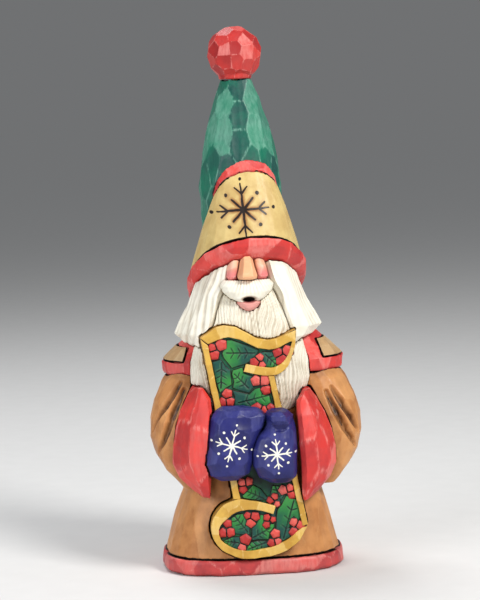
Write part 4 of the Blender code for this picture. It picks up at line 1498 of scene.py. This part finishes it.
# %% Berries
BERRIES = (
    # across, up, radius
    (6.3, 117.9, 1.7), (11.3, 119.4, 2.2), (7.3, 114.2, 2.0), (42.4, 113.8, 1.9), (47.8, 114.4, 2.2),
    (44.6, 109.9, 2.4), (32.3, 111.6, 1.5), (29.5, 109.0, 1.9), (33.3, 107.3, 1.5), (29.9, 98.9, 2.0),
    (34.5, 98.7, 2.2), (35.1, 93.6, 1.9), (13.8, 92.2, 1.9), (11.3, 87.6, 1.9), (14.8, 87.9, 1.9),
    (29.7, 83.3, 2.2), (33.5, 81.6, 2.0), (37.5, 83.0, 1.9), (20.2, 42.7, 1.6), (23.8, 43.2, 1.6),
    (20.5, 38.9, 1.6), (42.7, 37.5, 1.8), (46.4, 38.4, 1.6), (47.4, 34.6, 1.6), (37.7, 34.0, 1.4),
    (35.4, 32.2, 1.4), (39.1, 29.8, 1.2), (22.5, 24.2, 1.4), (26.6, 23.3, 1.8), (24.2, 20.0, 1.8),
    (33.2, 22.6, 1.4), (36.5, 21.3, 1.2), (32.7, 18.5, 1.4), (11.3, 20.3, 1.6), (8.5, 15.2, 1.8),
    (12.6, 15.3, 1.8), (20.9, 10.8, 2.1), (18.9, 6.4, 1.6), (37.6, 13.3, 1.8), (35.3, 8.2, 1.6),
    (38.7, 8.8, 1.5), (48.0, 19.2, 1.6), (47.8, 13.6, 1.8), (51.7, 17.5, 1.8),
)
print(len(LEAVES), "leaves and", len(BERRIES), "berries")

# %% [markdown]
# ## Holly board: a leaf's blank
# Each leaf is carved in low relief. A plane with a leaf painted on it would be flat from the side.
# The outline is one face, made from a circle with as many corners as the leaf, extruded through the
# board's surface and given an even skin, so that the knife can cut its veins.

# %% A leaf's blank
low, high = (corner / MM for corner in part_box("holly_board"))
BOARD_FACE = low.y
CORNER = np.array((low.x, low.z))
PROUD = 0.7  # how far a leaf stands off the board, in millimetres
SIDE_VEINS = (0.25, 0.5, 0.75)


def leaf_blank(number, shape):
    """A leaf's outline as one face, extruded and given an even skin."""
    bpy.ops.object.select_all(action="DESELECT")
    bpy.ops.mesh.primitive_circle_add(vertices=len(shape), radius=MM, fill_type="NGON")
    made = bpy.context.object
    made.name = f"holly_leaf_{number}"
    for vertex, (x, z) in zip(made.data.vertices, shape):
        vertex.co = Vector((x, BOARD_FACE + PROUD, z)) * MM
    bpy.ops.object.mode_set(mode="EDIT")
    bpy.ops.mesh.select_all(action="SELECT")
    bpy.ops.mesh.extrude_region_move(TRANSFORM_OT_translate={"value": (0, -2 * PROUD * MM, 0)})
    bpy.ops.mesh.select_all(action="SELECT")
    bpy.ops.mesh.normals_make_consistent(inside=False)
    bpy.ops.object.mode_set(mode="OBJECT")
    even_skin(made, 0.27, 1)
    return made


print("the board's face is at", round(BOARD_FACE, 1), "mm")

# %% [markdown]
# ## Holly board: leaves
# A leaf is thickest along its middle, has a dark edge, one long vein and three pairs of side veins,
# and runs from a light green to a deep blue green. The veins could be a texture, but the knife from
# the sleeve folds cuts them just as well and they catch the light. The tone is a gradient along the
# vein.

# %% Leaves
def leaf(number, shape, vein):
    """One leaf, bowed towards its middle, with its veins cut and its tone running along the vein."""
    shape, vein = np.array(shape) + CORNER, np.array(vein) + CORNER
    made = leaf_blank(number, shape)
    co = points(made)
    rim_gap, _ = along(co[:, (0, 2)], np.vstack((shape, shape[:1])))
    front = ramp(-normals(made)[:, 1], 0.2, 0.7)
    co[:, 1] -= 0.35 * ramp(rim_gap, 0.2, 2.0) * front
    place(made, co)
    span = vein[1] - vein[0]
    tone = ((co[:, (0, 2)] - vein[0]) @ span) / (span @ span)
    for attribute in ("arris", "cut", "ink"):
        mark(made, attribute, np.zeros(len(co)))
    mark(made, "cell", 0.8 * (1 - ramp(tone, -0.15, 1.05)))
    mark(made, "ink", 1 - ramp(rim_gap, 0.25, 0.6))
    front = ramp(-normals(made)[:, 1], 0.2, 0.5)
    crease(made, vein, 0.55, 0.4, front, tapered=False)
    long = np.linalg.norm(span)
    across = np.array((-span[1], span[0])) / long
    size = min(3.4, 0.3 * long)
    for share in SIDE_VEINS:
        root = vein[0] + share * span
        for side in (-1, 1):
            tip = root + side * size * across - 0.55 * size * span / long
            crease(made, (root, tip), 0.45, 0.3, front)
    return made


leaves = [leaf(number, *drawn) for number, drawn in enumerate(LEAVES, 1)]
finish(joined(leaves, "holly_leaves"), PAINT["holly"], "holly_paint")

# %% [markdown]
# ## Holly board: a berry
# The berries are small and angular, cut with a few flat strokes. A plain sphere would look like a
# bead. It starts as an icosphere, five slanted planes bevel it, and five upright ones give it a
# many-sided outline. Whatever lies past a plane is pushed back onto it. The distance to the nearest
# side gives the dark line round the edge.

# %% A berry
SIDES = 5
BEVEL_LEAN, BEVEL_PLACE = -0.45, 0.8
SIDE_PLACE = 0.92


def bead(name, spot, radius, depth, front, walls=()):
    """A ball cut to five flat sides, and cut straight where it would run into the next berry.

    walls lists those cuts as (direction across, direction up, distance from the middle).
    """
    across, up = spot
    bpy.ops.object.select_all(action="DESELECT")
    bpy.ops.mesh.primitive_ico_sphere_add(subdivisions=4, radius=MM)
    made = bpy.context.object
    made.name = name
    size = np.array((radius, 1, radius))
    co = points(made) * size
    turns = across + np.arange(SIDES) * 2 * math.pi / SIDES
    for angle in turns:
        bevel = np.array((math.cos(angle), BEVEL_LEAN, math.sin(angle))) / math.hypot(1, BEVEL_LEAN)
        co -= np.maximum(co @ (bevel / size) - BEVEL_PLACE, 0)[:, None] * bevel * size
    edge = np.full(len(co), 9.0)
    sides = [(math.cos(angle), math.sin(angle), SIDE_PLACE * radius) for angle in turns]
    for x, z, limit in [*sides, *walls]:
        wall = np.array((x, 0, z))
        co -= np.maximum(co @ wall - limit, 0)[:, None] * wall
        edge = np.minimum(edge, limit - co @ wall)
    place(made, co * (1, depth, 1) + (across + CORNER[0], front + depth, up + CORNER[1]))
    bpy.ops.object.shade_smooth()
    for attribute in ("arris", "cut"):
        mark(made, attribute, np.zeros(len(co)))
    mark(made, "ink", 1 - ramp(edge, 0.12, 0.5))
    mark(made, "cell", np.full(len(co), (across * 7.3 + up * 3.1) % 1.0))
    return made


print("each berry is cut to", SIDES, "sides")

# %% [markdown]
# ## Holly board: bunches of berries
# The berries are pressed together in bunches, so each one is cut straight where it would run into
# the next. Booleans could do it, but the line between two balls is a straight cut at a known place,
# so it is one more wall. A flatter and wider ball in near-black lies under each berry and shows as
# the bunch's outline.

# %% Bunches of berries
CROWDED = 1.62  # how much larger than its clear space a berry is cut
LINE_BETWEEN = 0.06  # half the gap between two berries, in millimetres


def next_to(number):
    """The cuts of one berry against each berry that it would run into."""
    x, z, radius = BERRIES[number]
    walls = []
    for other, (x2, z2, radius2) in enumerate(BERRIES):
        gap = math.hypot(x2 - x, z2 - z)
        if other != number and gap < CROWDED * (radius + radius2):
            limit = gap * radius / (radius + radius2) - LINE_BETWEEN
            walls.append(((x2 - x) / gap, (z2 - z) / gap, limit))
    return walls


berries, rings = [], []
for number, (across, up, radius) in enumerate(BERRIES):
    wide = CROWDED * radius
    walls = next_to(number)
    berries.append(bead(f"berry_{number}", (across, up), wide, 1.1, BOARD_FACE - 1.9, walls))
    rings.append(bead(f"ring_{number}", (across, up), wide + 0.3, 0.5, BOARD_FACE - 1.25))
finish(joined(berries, "holly_berries"), PAINT["berry"], "holly_paint")
finish(joined(rings, "berry_outlines"), PAINT["ink"], "holly_paint")

# %% [markdown]
# ## Dowels and pegs
# Dowels and pegs hold the blocks together inside. Nothing of them shows, so a finer shape would be
# wasted. They keep the shape that CAD gave them, and get the colour and grain of bare wood.

# %% Dowels and pegs
DOWELS = [node for node in NODES if "dowel" in node or "peg" in node]
for node in DOWELS:
    for slot in NODES[node].material_slots:
        slot.material = PAINT["wood"]
print(len(DOWELS), "dowels and pegs in bare wood")

# %% [markdown]
# ## Size
# Carving takes wood away and paint adds next to nothing, so the finished figure must be almost
# exactly as large as its blocks. The last cell prints the figure's box.

# %% Size
low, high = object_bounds()
print("figure", [round((b - a) / MM, 1) for a, b in zip(low, high)], "mm")
